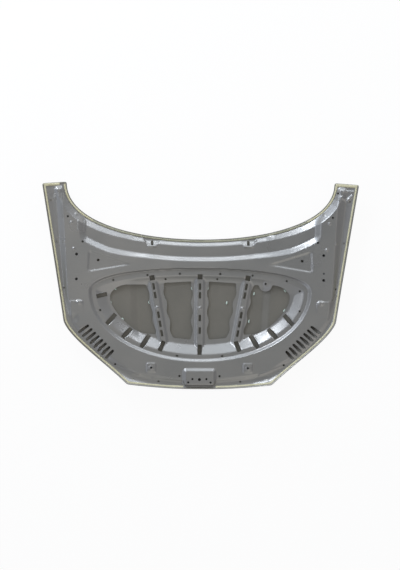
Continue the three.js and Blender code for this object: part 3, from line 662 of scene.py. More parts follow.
    def top_z(self, x: Array, y: Array) -> Array:
        """Main level with its pads and its embossed triangles.

        Args:
            x: X of the points.
            y: Y of the points.

        Returns:
            Heights.
        """
        s = SIZES
        z = self.plateau_z(x, y)
        for pad in self.pads:
            z = mix(z, self.pad_z(pad, x, y), self.mask(pad, x, y))
        gaps = []
        for a, b in zip(self.triangle, np.roll(self.triangle, -1, axis=0)):
            length = np.hypot(*(b - a))
            gaps.append(((b[0] - a[0]) * (y - a[1]) - (b[1] - a[1]) * (np.abs(x) - a[0])) / length)
        inside = -soft_max(soft_max(-gaps[0], -gaps[1], radius=16), -gaps[2], radius=16)
        return z - s.triangle_depth * soft_ramp(0, s.triangle_slope, inside, radius=3)

    def rear_edge_z(self, x: Array, y: Array, flange: Array) -> Array:
        """Two steps up from the windscreen edge, with the flat shelf between them.

        Args:
            x: X of the points.
            y: Y of the points.
            flange: Heights of the hem flange.

        Returns:
            Heights.
        """
        s = SIZES
        inward = line_distance(COARSE.cowl_line, np.abs(x), y)
        widen = ramp(*s.cowl_widen, np.abs(x))
        shelf_start = s.flange_narrow + mix(s.cowl_slope, s.cowl_slope_end, widen)
        shelf_stop = shelf_start + np.interp(np.abs(x), s.shelf_stations, s.shelf_widths)
        upper = mix(s.upper_slope, s.upper_slope_end, ramp(*s.upper_widen, np.abs(x)))
        top = self.top_z(x, y)
        base_z = self.bulged_z(x, y, s.shelf_blend, s.shelf_round)
        ends = soft_ramp(s.shelf_end_x, s.shelf_end_x + s.shelf_end_slope, np.abs(x), radius=6)
        shelf = mix(base_z + s.shelf_lift, top, ends)
        z = mix(shelf, top, soft_ramp(shelf_stop, shelf_stop + upper, inward, radius=3.5))
        for pad in self.jets:
            base = level_at(self.skin_z, pad.x, pad.y)
            facet = base + s.shelf_lift + s.facet_tilt * (pad.y - y)
            z = mix(z, facet, self.facet_mask(pad, x, y))
        return mix(flange, z, soft_ramp(s.flange_narrow, shelf_start, inward, radius=3))

    def recess_z(self, x: Array, y: Array, outside: Array) -> Array:
        """The D recess with its rim, ledge, wall, floor and ribs.

        Args:
            x: X of the points.
            y: Y of the points.
            outside: Heights of the panel round it.

        Returns:
            Heights.
        """
        s = SIZES
        closed = np.vstack([self.rim, self.rim[:1]])
        depth = np.where(inside_loop(self.rim, x, y), 1, -1) * line_distance(closed, x, y)
        rearward = ramp(*s.recess_turn_y, y)
        rim, ledge, wall = (mix(front, rear, rearward) for front, rear in s.recess_steps)
        floor = self.skin_z(x, y) + s.sheet + s.window_lift
        ledge_z = mix(outside, self.plateau_z(x, y) - s.ledge_drop, soft_ramp(0, rim, depth, radius=2.4))
        wall_z = mix(ledge_z, floor, soft_ramp(ledge, wall, depth, radius=5))
        across = np.min([rib.distance(x, y) for rib in self.ribs], axis=0)
        rise = s.rib_lift - s.window_lift - s.sheet
        rib_z = floor + rise * (1 - soft_ramp(s.rib_top_half, s.rib_foot_half, across, radius=5))
        inside = ramp(rim + 4, ledge, depth)
        return mix(mix(outside, wall_z, (depth > -4) * 1.0), soft_max(wall_z, rib_z, 5), inside)

    def panel_z(self, x: Array, y: Array) -> Array:
        """Lower face of the inner panel.

        Args:
            x: X of the points.
            y: Y of the points.

        Returns:
            Heights.
        """
        s = SIZES
        flange = self.skin_z(x, y) + s.sheet + s.hem_gap
        from_side = line_distance(COARSE.side_line, np.abs(x), y)
        from_horn = line_distance(COARSE.horn_line, np.abs(x), y)
        z = self.recess_z(x, y, self.rear_edge_z(x, y, flange))
        for d in self.dimples:
            reach = np.hypot(x - d.x, y - d.y)
            z = z + d.rise * (1 - soft_ramp(d.top, d.top + d.slope, reach, radius=2))
        blend_front, blend_rear = (s.corner[1] + reach for reach in s.corner_blend)
        to_horn = ramp(blend_rear, s.horn_tip[1] - s.horn_blend, y)
        start = mix(s.flange_narrow, s.flange_side, ramp(blend_front, blend_rear, y))
        start = start + (s.flange_horn - s.flange_side) * to_horn
        width = mix(s.side_slope_front, s.side_slope_rear, to_horn)
        nose = mix(s.nose_slope, s.nose_corner_slope, ramp(*s.nose_blend, np.abs(x)))
        near, far = (s.nose_corner[0] + reach for reach in s.diagonal_blend)
        front = mix(nose, s.diagonal_slope, ramp(near, far, np.abs(x)))
        width = mix(width, front, ramp(blend_rear, blend_front, y))
        on_latch = self.mask(self.latch, x, y) * ramp(*s.latch_fade_y, y)
        width = mix(width, s.latch_side_slope, on_latch)
        z = mix(flange, z, soft_ramp(start, start + width, from_side, radius=3))
        horn = soft_ramp(s.flange_narrow, s.flange_narrow + s.cowl_slope, from_horn, radius=4)
        z = mix(flange, z, horn)
        for ridge in self.ridges:
            reach = line_distance(np.array([ridge.start, ridge.end]), x, y)
            z = z + ridge.rise * (1 - soft_ramp(ridge.crest, ridge.crest + ridge.slope, reach, 1.5))
        return z


PRESS = Presswork()


def circle(x: float, y: float, diameter: float, count: int = 18) -> Array:
    """Points of a round hole."""
    angle = np.arange(count) * 2 * math.pi / count
    return np.column_stack([x + diameter / 2 * np.cos(angle), y + diameter / 2 * np.sin(angle)])


def slot(start: Sequence[float], end: Sequence[float], width: float, radius: float) -> Array:
    """Points of a slot with rounded corners.

    Args:
        start: Middle of one short side.
        end: Middle of the other short side.
        width: Its width.
        radius: Radius of its corners.

    Returns:
        Points as rows.
    """
    start, end = np.array(start, dtype=float), np.array(end, dtype=float)
    length = float(np.hypot(*(end - start)))
    along = (end - start) / length
    across = np.array([-along[1], along[0]])
    points = []
    for i, (sx, sy) in enumerate(((1, 1), (0, 1), (0, -1), (1, -1))):
        centre_a = mix(radius, length - radius, sx)
        centre_b = sy * (width / 2 - radius)
        for k in range(4):
            angle = math.pi / 2 * (i + k / 3)
            a = centre_a + radius * math.cos(angle)
            b = centre_b + radius * math.sin(angle)
            points.append(start + along * a + across * b)
    return np.array(points)


@dataclass(frozen=True)
class Piercing:
    """Every opening cut through the inner panel, with the sizes of its slots and scallops."""

    wall_width: float = 20
    dash_half: float = 15.5
    dash_width: float = 11
    end_half: float = 12
    end_width: float = 24
    louvre_width: float = 11.5
    louvre_radius: float = 5.2
    louvre_count: int = 8
    jet_width: float = 12
    jet_reach: tuple[float, float] = (-5, 17)
    corner: float = 2.5
    dash_corner: float = 2
    jet_corner: float = 1.5
    scallop: float = 4.5
    scallop_pitch: float = 87
    scallop_shift: float = 85
    tab_centre: tuple[float, float] = (312, 1)
    tab_radius: float = 31
    outer_gap: float = 30
    middle_gap: float = 38
    inner_gap: float = 46

    def round_holes(self) -> list[Array]:
        """Location and bolt holes.

        Returns:
            One loop for each hole.
        """
        s = SIZES
        small = [
            (710, 398), (628, 322), (558, 203), (682, 201), (646, -17), (412, 21), (250, 46), (96, 53),
            (473, -122), (107, -337), (400, -378), (316, -448), (194, -459), (95, -432), (33, -446),
            (229, -393), (53, -462),
        ]
        large = [(586, 143), (586, 25)]
        pairs = [(x, y, s.small_hole) for x, y in small] + [(x, y, s.bolt_hole) for x, y in large]
        pairs.append((484, 116, s.gauge_hole))
        single = [(587, 57), (-164, 27), (82, 28), (312, 7), (474, -27), (652, 438)]
        every = [(hand * x, y, d) for x, y, d in pairs for hand in HANDS]
        every += [(x, y, s.small_hole) for x, y in single]
        every.append((0, -448, s.bolt_hole))
        return [circle(x, y, d) for x, y, d in every]

    def wall_slots(self) -> list[Array]:
        """Slots in the sloping front wall of the recess.

        Returns:
            One loop for each slot.
        """
        pairs = [
            ((190, -315), (171, -268)),
            ((278, -298), (240, -238)),
            ((366, -252), (325, -207)),
            ((442, -188), (401, -140)),
        ]
        every = [((hand * ax, ay), (hand * bx, by)) for (ax, ay), (bx, by) in pairs for hand in HANDS]
        every += [((0, -332), (0, -284)), ((-491, -57), (-442, -45))]
        return [slot(start, end, self.wall_width, self.corner) for start, end in every]

    def rib_slots(self) -> list[Array]:
        """Dashes along the ribs and the opening at the rear end of each.

        Returns:
            One loop for each.
        """
        loops = []
        for rib in PRESS.ribs:
            dashes = (-8, -49, -143, -186, -230) if rib.hand else (-8, -49, -157, -217)
            for y in dashes:
                middle = mix(rib.rear, rib.front, (rib.rear[1] - y) / (rib.rear[1] - rib.front[1]))
                half = rib.along * self.dash_half
                loops.append(slot(middle - half, middle + half, self.dash_width, self.dash_corner))
            half = rib.along * self.end_half
            loops.append(slot(rib.rear - half, rib.rear + half, self.end_width, self.corner))
        return loops

    def louvres(self) -> list[Array]:
        """Rows of slots beside the front corners.

        Returns:
            One loop for each slot.
        """
        loops = []
        for hand in HANDS:
            for share in np.linspace(0, 1, self.louvre_count):
                outer = (hand * mix(576, 447, share), mix(-230, -352, share))
                inner = (hand * mix(526, 408, share), mix(-193, -311, share))
                loops.append(slot(outer, inner, self.louvre_width, self.louvre_radius))
        return loops

    def jet_slots(self) -> list[Array]:
        """Slots for the washer jets."""
        ends = [[(pad.x, pad.y + reach) for reach in self.jet_reach] for pad in PRESS.jets]
        return [slot(front, rear, self.jet_width, self.jet_corner) for front, rear in ends]

    def rib_edge(self, rib: Rib, offset: float, rear: float, front: float) -> Array:
        """Scalloped window edge beside a rib.

        Args:
            rib: The rib.
            offset: Mean distance from its axis, signed.
            rear: Y where the edge starts.
            front: Y where it ends.

        Returns:
            Points as rows, from the rear to the front.
        """
        y = np.linspace(rear, front, 54)
        wave = self.scallop * np.cos((y + self.scallop_shift) * 2 * math.pi / self.scallop_pitch)
        return np.column_stack([rib.at(y) + offset + math.copysign(1, offset) * wave, y])

    def windows(self) -> list[Array]:
        """The four large openings.

        Returns:
            One loop for each window.
        """
        loops = []
        bend = [
            (356, 0), (393, -12), (425, -44), (423, -84), (406, -116),
            (385, -145), (352, -179), (305, -216), (262, -232),
        ]
        for hand in HANDS:
            rib = PRESS.ribs[1 + hand]
            outer = self.smooth(np.array(bend, dtype=float) * (hand, 1))
            parts = [self.rib_edge(rib, hand * self.outer_gap, 1, -236)[::-1]]
            if hand > 0:
                angle = math.pi + np.arange(17) * math.pi / 16
                arc = self.tab_radius * np.column_stack([np.cos(angle), np.sin(angle)])
                parts.append(arc + self.tab_centre)
            loops.append(np.vstack([*parts, outer]))
            middle = self.rib_edge(PRESS.ribs[1], hand * self.middle_gap, 17, -260)
            side = self.rib_edge(rib, -hand * self.inner_gap, 9, -252)
            loops.append(np.vstack([middle, side[::-1]]))
        return [self.round_corners(loop) for loop in loops]

    @staticmethod
    def smooth(line: Array) -> Array:
        """Dense smooth curve through a few points.

        Args:
            line: The points as rows.

        Returns:
            The curve's points.
        """
        padded = np.vstack([2 * line[0] - line[1], line, 2 * line[-1] - line[-2]])
        points = []
        for p0, p1, p2, p3 in zip(padded[:-3], padded[1:-2], padded[2:-1], padded[3:]):
            for t in np.arange(6) / 6:
                bend = 2 * p0 - 5 * p1 + 4 * p2 - p3
                twist = -p0 + 3 * p1 - 3 * p2 + p3
                points.append(0.5 * (2 * p1 + (p2 - p0) * t + bend * t**2 + twist * t**3))
        return np.vstack([*points, line[-1]])

    @staticmethod
    def round_corners(loop: Array) -> Array:
        """Even spacing and softened corners for a closed loop.

        Args:
            loop: Points as rows.

        Returns:
            The new loop.
        """
        even = resample(np.vstack([loop, loop[:1]]), 4.5)[:-1]
        for _ in range(3):
            even = (np.roll(even, 1, axis=0) + 2 * even + np.roll(even, -1, axis=0)) / 4
        return even

    def every_loop(self) -> list[Array]:
        """All the openings."""
        small = [*self.round_holes(), *self.wall_slots(), *self.rib_slots(), *self.louvres()]
        return [*small, *self.jet_slots(), *self.windows()]


def add_object(name: str, data: bpy.types.ID) -> bpy.types.Object:
    """Adds an object to the scene.

    Args:
        name: Name of the object.
        data: Its mesh, light or camera.

    Returns:
        The object.
    """
    added = bpy.data.objects.new(name, data)
    bpy.context.scene.collection.objects.link(added)
    return added


@dataclass
class Patch:
    """Flat triangulation: points as rows and corner numbers of each triangle, anticlockwise."""

    points: Array
    triangles: Array


@dataclass
class MeshData:
    """Corners and faces gathered for one piece, in millimetres."""

    corners: list[Array] = field(default_factory=list)
    faces: list[Array] = field(default_factory=list)
    count: int = 0

    def add_corners(self, x: Array, y: Array, z: Array) -> Array:
        """Adds corners.

        Args:
            x: X of the corners.
            y: Y of the corners.
            z: Z of the corners.

        Returns:
            Their numbers.
        """
        self.corners.append(np.column_stack([x, y, z]))
        numbers = np.arange(self.count, self.count + len(x))
        self.count += len(x)
        return numbers

    def strip(self, lower: Array, upper: Array, closed: bool = True) -> None:
        """Joins two rows of corners with triangles.

        Args:
            lower: Corner numbers of one row.
            upper: Corner numbers of the other row.
            closed: Whether the rows are loops.
        """
        if closed:
            lower = np.append(lower, lower[0])
            upper = np.append(upper, upper[0])
        first = np.column_stack([lower[:-1], lower[1:], upper[1:]])
        second = np.column_stack([lower[:-1], upper[1:], upper[:-1]])
        self.faces.append(np.vstack([first, second]))

    def to_object(self, name: str) -> bpy.types.Object:
        """Makes a smooth-shaded object.

        Args:
            name: Name of the piece.

        Returns:
            The object, linked to the scene.
        """
        corners = np.vstack(self.corners)
        corners = (corners + (0, SHIFT_Y, 0)) * MM
        mesh = bpy.data.meshes.new(name)
        mesh.from_pydata(corners.tolist(), [], np.vstack(self.faces).tolist())
        mesh.validate()
        mesh.update()
        mesh.shade_smooth()
        mesh.set_sharp_from_angle(angle=SHARP_ANGLE)
        return add_object(name, mesh)


def fill_points(loop: Array, holes: Sequence[Array], height: Callable, fine: float, bend: float) -> Array:
    """Points inside a loop, close together only where a height function bends.

    Args:
        loop: Outer loop.
        holes: Openings to leave free.
        height: Height function of x and y.
        fine: Closest spacing.
        bend: Height by which the surface leaves its tangent before the close spacing is used.

    Returns:
        Points as rows.
    """
    columns = np.arange(loop[:, 0].min(), loop[:, 0].max(), fine)
    rows = np.arange(loop[:, 1].min(), loop[:, 1].max(), fine * ROW_PITCH)
    grid_x, grid_y = np.meshgrid(columns, rows)
    grid_x = grid_x + (np.arange(len(rows)) % 2)[:, None] * fine / 2
    z = height(grid_x.ravel(), grid_y.ravel()).reshape(grid_x.shape)
    curve = np.zeros_like(z)
    curve[:, 1:-1] = np.abs(z[:, 2:] - 2 * z[:, 1:-1] + z[:, :-2])
    upright = np.zeros_like(z)
    upright[2:-2] = np.abs(z[4:] - 2 * z[2:-2] + z[:-4]) / 3
    curve = np.maximum(curve, upright)
    spread = curve.copy()
    for axis in (0, 1):
        for step in (-1, 1):
            spread = np.maximum(spread, np.roll(curve, step, axis=axis))
    row_number = np.arange(len(rows))[:, None]
    column_number = np.arange(len(columns))[None, :]
    coarse = (row_number % 4 == 0) & (column_number % 4 == 0)
    middle = (row_number % 2 == 0) & (column_number % 2 == 0)
    keep = coarse | (middle & (spread > bend / 4)) | (spread > bend)
    x, y = grid_x[keep], grid_y[keep]
    inside = inside_loop(loop, x, y)
    x, y = x[inside], y[inside]
    for line in [loop, *holes]:
        near = (x > line[:, 0].min() - fine) & (x < line[:, 0].max() + fine)
        near &= (y > line[:, 1].min() - fine) & (y < line[:, 1].max() + fine)
        closed = np.vstack([line, line[:1]])
        clear = np.ones(len(x), dtype=bool)
        clear[near] = line_distance(closed, x[near], y[near]) > fine * CLEAR_SHARE
        if line is not loop:
            clear &= ~inside_loop(line, x, y)
        x, y = x[clear], y[clear]
    return np.column_stack([x, y])


def triangulate(loop: Array, holes: Sequence[Array], inner: Array) -> Patch:
    """Triangulates a region with openings.

    Args:
        loop: Outer loop; its points come first in the patch, in order.
        holes: Openings.
        inner: Points inside.

    Returns:
        The patch.
    """
    lines = [loop, *holes]
    points = np.vstack([*lines, inner])
    edges = []
    start = 0
    for line in lines:
        numbers = range(start, start + len(line))
        edges += [(a, start + (a - start + 1) % len(line)) for a in numbers]
        start += len(line)
    found = delaunay_2d_cdt([Vector(p) for p in points.tolist()], edges, [], 0, SAME_POINT)
    spots = np.array([tuple(v) for v in found[0]])
    triangles = np.array([f for f in found[2] if len(f) == 3])
    centre = spots[triangles].mean(axis=1)
    keep = inside_loop(loop, centre[:, 0], centre[:, 1])
    for hole in holes:
        keep &= ~inside_loop(hole, centre[:, 0], centre[:, 1])
    triangles = triangles[keep]
    a, b, c = (spots[triangles[:, k]] for k in range(3))
    turn = (b[:, 0] - a[:, 0]) * (c[:, 1] - a[:, 1]) - (b[:, 1] - a[:, 1]) * (c[:, 0] - a[:, 0])
    triangles[turn < 0] = triangles[turn < 0][:, ::-1]
    return Patch(spots, triangles[np.abs(turn) > NO_AREA])


def open_edges(triangles: Array) -> Array:
    """Edges that belong to one triangle only.

    Args:
        triangles: Corner numbers of each triangle.

    Returns:
        Start and end number of each edge, the triangle to its left.
    """
    edges = np.vstack([triangles[:, [0, 1]], triangles[:, [1, 2]], triangles[:, [2, 0]]])
    count = int(triangles.max()) + 1
    forward = edges[:, 0] * count + edges[:, 1]
    backward = edges[:, 1] * count + edges[:, 0]
    return edges[~np.isin(forward, backward)]


def add_node(
    tree: bpy.types.NodeTree, kind: str, inputs: dict[str | int, object], operation: str = ""
) -> bpy.types.Node:
    """Adds a shader node and feeds it.

    Args:
        tree: Node tree.
        kind: Type of the node.
        inputs: Value or socket for each input, under the input's name or number.
        operation: What a math node does.

    Returns:
        The node.
    """
    node = tree.nodes.new(kind)
    if operation:
        node.operation = operation
    for name, value in inputs.items():
        if isinstance(value, bpy.types.NodeSocket):
            tree.links.new(value, node.inputs[name])
        else:
            node.inputs[name].default_value = value
    return node


def map_range(
    tree: bpy.types.NodeTree, value: bpy.types.NodeSocket, low: float, high: float, start: float, end: float
) -> bpy.types.NodeSocket:
    """Maps a value from low and high to start and end, and stops at both ends."""
    ranges = {"From Min": low, "From Max": high, "To Min": start, "To Max": end}
    return add_node(tree, "ShaderNodeMapRange", {"Value": value, **ranges}).outputs["Result"]


def color_band(
    tree: bpy.types.NodeTree, value: bpy.types.NodeSocket, stops: Sequence[tuple[float, Sequence[float]]]
) -> bpy.types.NodeSocket:
    """Colours a value by a ramp.

    Args:
        tree: Node tree.
        value: Socket that gives the value.
        stops: Place and colour of each stop.

    Returns:
        Socket with the colour.
    """
    band = add_node(tree, "ShaderNodeValToRGB", {"Fac": value})
    elements = band.color_ramp.elements
    for position, _ in stops[1:-1]:
        elements.new(position)
    for element, (position, colour) in zip(elements, stops):
        element.position, element.color = position, (*colour, 1)
    return band.outputs["Color"]


@dataclass(frozen=True)
class Relief:
    """One layer of fine surface relief: features per metre, strength and height in metres."""

    scale: float
    strength: float
    distance: float


@dataclass(frozen=True)
class Finish:
    """Procedural surface with slowly varying colour and roughness and a fine relief."""

    name: str
    slot: Slot
    dark: tuple[float, float, float]
    pale: tuple[float, float, float]
    patches: float
    smoothest: float
    roughest: float
    relief: tuple[Relief, ...]
    metallic: float = 0.0
    ior: float = 1.5
    noise_low: float = 0.3
    noise_high: float = 0.7

    def material(self) -> bpy.types.Material:
        """Makes the material once and returns the same one afterwards.

        Returns:
            The material.
        """
        known = bpy.data.materials.get(self.name)
        if known:
            return known
        material = bpy.data.materials.new(self.name)
        material.use_nodes = True
        tree = material.node_tree
        shader = tree.nodes["Principled BSDF"]
        shader.inputs["Metallic"].default_value = self.metallic
        shader.inputs["IOR"].default_value = self.ior
        self.tint(tree, shader)
        self.roughen(tree, shader)
        self.press_relief(tree, shader)
        return material

    @staticmethod
    def noise(tree: bpy.types.NodeTree, scale: float) -> bpy.types.NodeSocket:
        """Adds a noise in the object's own coordinates.

        Args:
            tree: Node tree.
            scale: Features per metre.

        Returns:
            Socket with the noise.
        """
        place = add_node(tree, "ShaderNodeTexCoord", {}).outputs["Object"]
        inputs = {"Scale": scale, "Detail": 3, "Vector": place}
        return add_node(tree, "ShaderNodeTexNoise", inputs).outputs["Fac"]

    def tint(self, tree: bpy.types.NodeTree, shader: bpy.types.Node) -> None:
        """Varies the base colour from patch to patch.

        Args:
            tree: Node tree.
            shader: Shader to feed.
        """
        stops = ((self.noise_low, self.dark), (self.noise_high, self.pale))
        colour = color_band(tree, self.noise(tree, self.patches), stops)
        tree.links.new(colour, shader.inputs["Base Color"])

    def roughen(self, tree: bpy.types.NodeTree, shader: bpy.types.Node) -> None:
        """Varies the roughness from patch to patch, in patches smaller than the colour's.

        Args:
            tree: Node tree.
            shader: Shader to feed.
        """
        noise = self.noise(tree, self.patches * 1.7)
        rough = map_range(tree, noise, self.noise_low, self.noise_high, self.smoothest, self.roughest)
        tree.links.new(rough, shader.inputs["Roughness"])

    def press_relief(self, tree: bpy.types.NodeTree, shader: bpy.types.Node) -> None:
        """Adds the layers of fine surface relief.

        Args:
            tree: Node tree.
            shader: Shader to feed.
        """
        inputs = {}
        for layer in self.relief:
            height = self.noise(tree, layer.scale)
            inputs.update(Height=height, Strength=layer.strength, Distance=layer.distance)
            inputs["Normal"] = add_node(tree, "ShaderNodeBump", inputs).outputs["Normal"]
        tree.links.new(inputs["Normal"], shader.inputs["Normal"])


PANEL_PRIMER = Finish(
    "grey_primer", Slot.PRIMER, (0.25, 0.25, 0.24), (0.285, 0.28, 0.265), 5.0, 0.27, 0.33,
    (Relief(14.0, 0.02, 0.0008), Relief(300.0, 0.006, 0.0001)), 0.55, 1.6,
)
SKIN_PRIMER = Finish(
    "warm_grey_primer", Slot.PRIMER, (0.185, 0.18, 0.158), (0.22, 0.21, 0.182), 7.0, 0.32, 0.4,
    (Relief(24.0, 0.06, 0.0008), Relief(300.0, 0.03, 0.0001)), 0.5, 1.55,
)
# Dark zinc steel for the plates and weld nuts: its tone is darkened beyond the metal's own so that holes
# over them read black, which is painted shade.
SHADED_ZINC = Finish(
    "zinc_steel_painted_shade", Slot.STEEL, (0.08, 0.082, 0.085), (0.16, 0.162, 0.165), 60.0, 0.32, 0.5,
    (Relief(700.0, 0.1, 0.0003),), 0.8, 1.5,
)
CREAM_SEALER = Finish(
    "cream_sealer", Slot.SEALER, (0.5, 0.47, 0.3), (0.6, 0.57, 0.39), 26.0, 0.42, 0.6,
    (Relief(200.0, 0.25, 0.0005),), 0.0, 1.45,
)
# Darker olive copy of the cream sealer for the middle of the windscreen edge: painted shade, where that bead
# lies in shade.
SHADED_SEALER = Finish(
    "sealer_painted_shade", Slot.SEALER, (0.27, 0.27, 0.19), (0.36, 0.35, 0.25), 26.0, 0.42, 0.6,
    (Relief(200.0, 0.25, 0.0005),), 0.0, 1.45,
)
MASTIC = Finish(
    "pale_mastic", Slot.MASTIC, (0.4, 0.5, 0.43), (0.56, 0.66, 0.58), 90.0, 0.14, 0.26,
    (Relief(180.0, 0.35, 0.001),), 0.0, 1.48,
)


def deselect() -> None:
    """Deselects every object."""
    bpy.ops.object.select_all(action="DESELECT")


def pick(piece: bpy.types.Object, test: Callable[[Vector], bool]) -> None:
    """Selects, in edit mode, only the corners that pass a test.

    Args:
        piece: The piece in edit mode.
        test: Test of a corner's place.
    """
    bpy.ops.mesh.select_all(action="DESELECT")
    shape = bmesh.from_edit_mesh(piece.data)
    for corner in shape.verts:
        corner.select_set(test(corner.co))
    shape.select_flush(True)
    bmesh.update_edit_mesh(piece.data)


def square_to(surface: Callable, x: float, y: float, height: float, turn: float = 0.0) -> Matrix:
    """Placement square to a surface of the presswork.

    Args:
        surface: Height function of x and y, in millimetres.
        x: X of the place in millimetres.
        y: Y of the place.
        height: Height above the surface.
        turn: Turn about the surface's normal in degrees.

    Returns:
        The placement in metres.
    """
    level, slope_x, slope_y = tangent_at(surface, x, y, 1)
    normal = Vector((-slope_x, -slope_y, 1)).normalized()
    place = (Vector((x, y + SHIFT_Y, level)) + normal * height) * MM
    lean = Vector((0, 0, 1)).rotation_difference(normal).to_matrix().to_4x4()
    return Matrix.Translation(place) @ lean @ Matrix.Rotation(math.radians(turn), 4, "Z")


@dataclass
class SubAssembly:
    """Pieces that are built and dressed together."""

    def place(self, piece: bpy.types.Object, finish: Finish, node: str) -> None:
        """Dresses a piece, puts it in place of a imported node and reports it.

        Args:
            piece: The piece.
            finish: Its finish.
            node: The node that it replaces.
        """
        piece.data.materials.clear()
        piece.data.materials.append(finish.material())
        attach(piece, "root")
        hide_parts(node)
        LOG.info("%s, %d faces, finish %s", piece.name, len(piece.data.polygons), finish.name)

    def place_copy(self, model: bpy.types.Object, placement: Matrix, name: str) -> bpy.types.Object:
        """Copies a modelled piece to its place, with a mesh of its own.

        Args:
            model: The piece at the origin.
            placement: Where the copy goes.
            name: Name of the copy.

        Returns:
            The copy.
        """
        mesh = model.data.copy()
        mesh.name = name
        mesh.transform(placement)
        return add_object(name, mesh)


@dataclass
class InnerPanel(SubAssembly):
    """Inner panel, pressed from one sheet and pierced."""

    spacing: float = 3.7
    bend: float = 0.13

    def build(self) -> None:
        """Presses, pierces and dresses the panel."""
        loop = EDGE.inset(SIZES.panel_inset)[::-1]
        holes = Piercing().every_loop()
        inner = fill_points(loop, holes, PRESS.panel_z, self.spacing, self.bend)
        patch = triangulate(loop, holes, inner)
        x, y = patch.points.T
        z = PRESS.panel_z(x, y)
        data = MeshData()
        lower = data.add_corners(x, y, z)
        upper = data.add_corners(x, y, z + SIZES.sheet)
        data.faces.append(lower[patch.triangles][:, ::-1])
        data.faces.append(upper[patch.triangles])
        edges = open_edges(patch.triangles)
        low_a, low_b = lower[edges[:, 0]], lower[edges[:, 1]]
        high_a, high_b = upper[edges[:, 0]], upper[edges[:, 1]]
        data.faces.append(np.column_stack([low_a, low_b, high_b]))
        data.faces.append(np.column_stack([low_a, high_b, high_a]))
        self.place(data.to_object("pressed_inner_panel"), PANEL_PRIMER, "inner_panel")


@dataclass
class OuterSkin(SubAssembly):
    """Outer skin with its rounded hem folded over the inner panel."""

    spacing: float = 6.0
    bend: float = 0.35
    nose_radius: float = 1.1
    lip: float = 2.4

    def section(self) -> list[tuple[float, float]]:
        """Section through the hem.

        Returns:
            Distance from the outline and height above the skin's outer face, from below inwards.
        """
        s = SIZES
        top = 3 * s.sheet + 2 * s.hem_gap
        under = top - s.sheet
        inner = self.nose_radius
        return [
            (self.lip, 0.0), (inner, 0.22), (0.3, 0.9), (0.0, top / 2), (0.3, top - 0.9),
            (inner, top - 0.22), (self.lip, top), (s.hem_width - 0.3, top), (s.hem_width, top - 0.3),
            (s.hem_width, under), (1.5, under), (inner, under - 0.4), (inner, s.sheet + 0.4), (1.5, s.sheet),
        ]

    def build(self) -> None:
        """Presses, hems and dresses the skin."""
        section = self.section()
        data = MeshData()
        rings = []
        for distance, lift in section[1:-1]:
            x, y = EDGE.inset(distance).T
            rings.append(data.add_corners(x, y, PRESS.skin_z(x, y) + lift))
        for (distance, lift), at_start in ((section[0], True), (section[-1], False)):
            loop = EDGE.inset(distance)
            inner = fill_points(loop, [], PRESS.skin_z, self.spacing, self.bend)
            patch = triangulate(loop, [], inner)
            x, y = patch.points.T
            numbers = data.add_corners(x, y, PRESS.skin_z(x, y) + lift)
            turned = patch.triangles[:, ::-1] if at_start else patch.triangles
            data.faces.append(numbers[turned])
            rings.insert(0 if at_start else len(rings), numbers[: len(loop)])
        for outer, inner_ring in zip(rings[:-1], rings[1:]):
            data.strip(inner_ring, outer)
        self.place(data.to_object("hemmed_outer_skin"), SKIN_PRIMER, "outer_skin")


@dataclass(frozen=True)
class Stroke:
    """Stretch of the outline that one pull of the sealer gun covers, with the bead it leaves."""

    name: str
    node: str
    first: int
    last: int
    outer: float
    inner: float
    crown: float
    finish: Finish
    seed: int


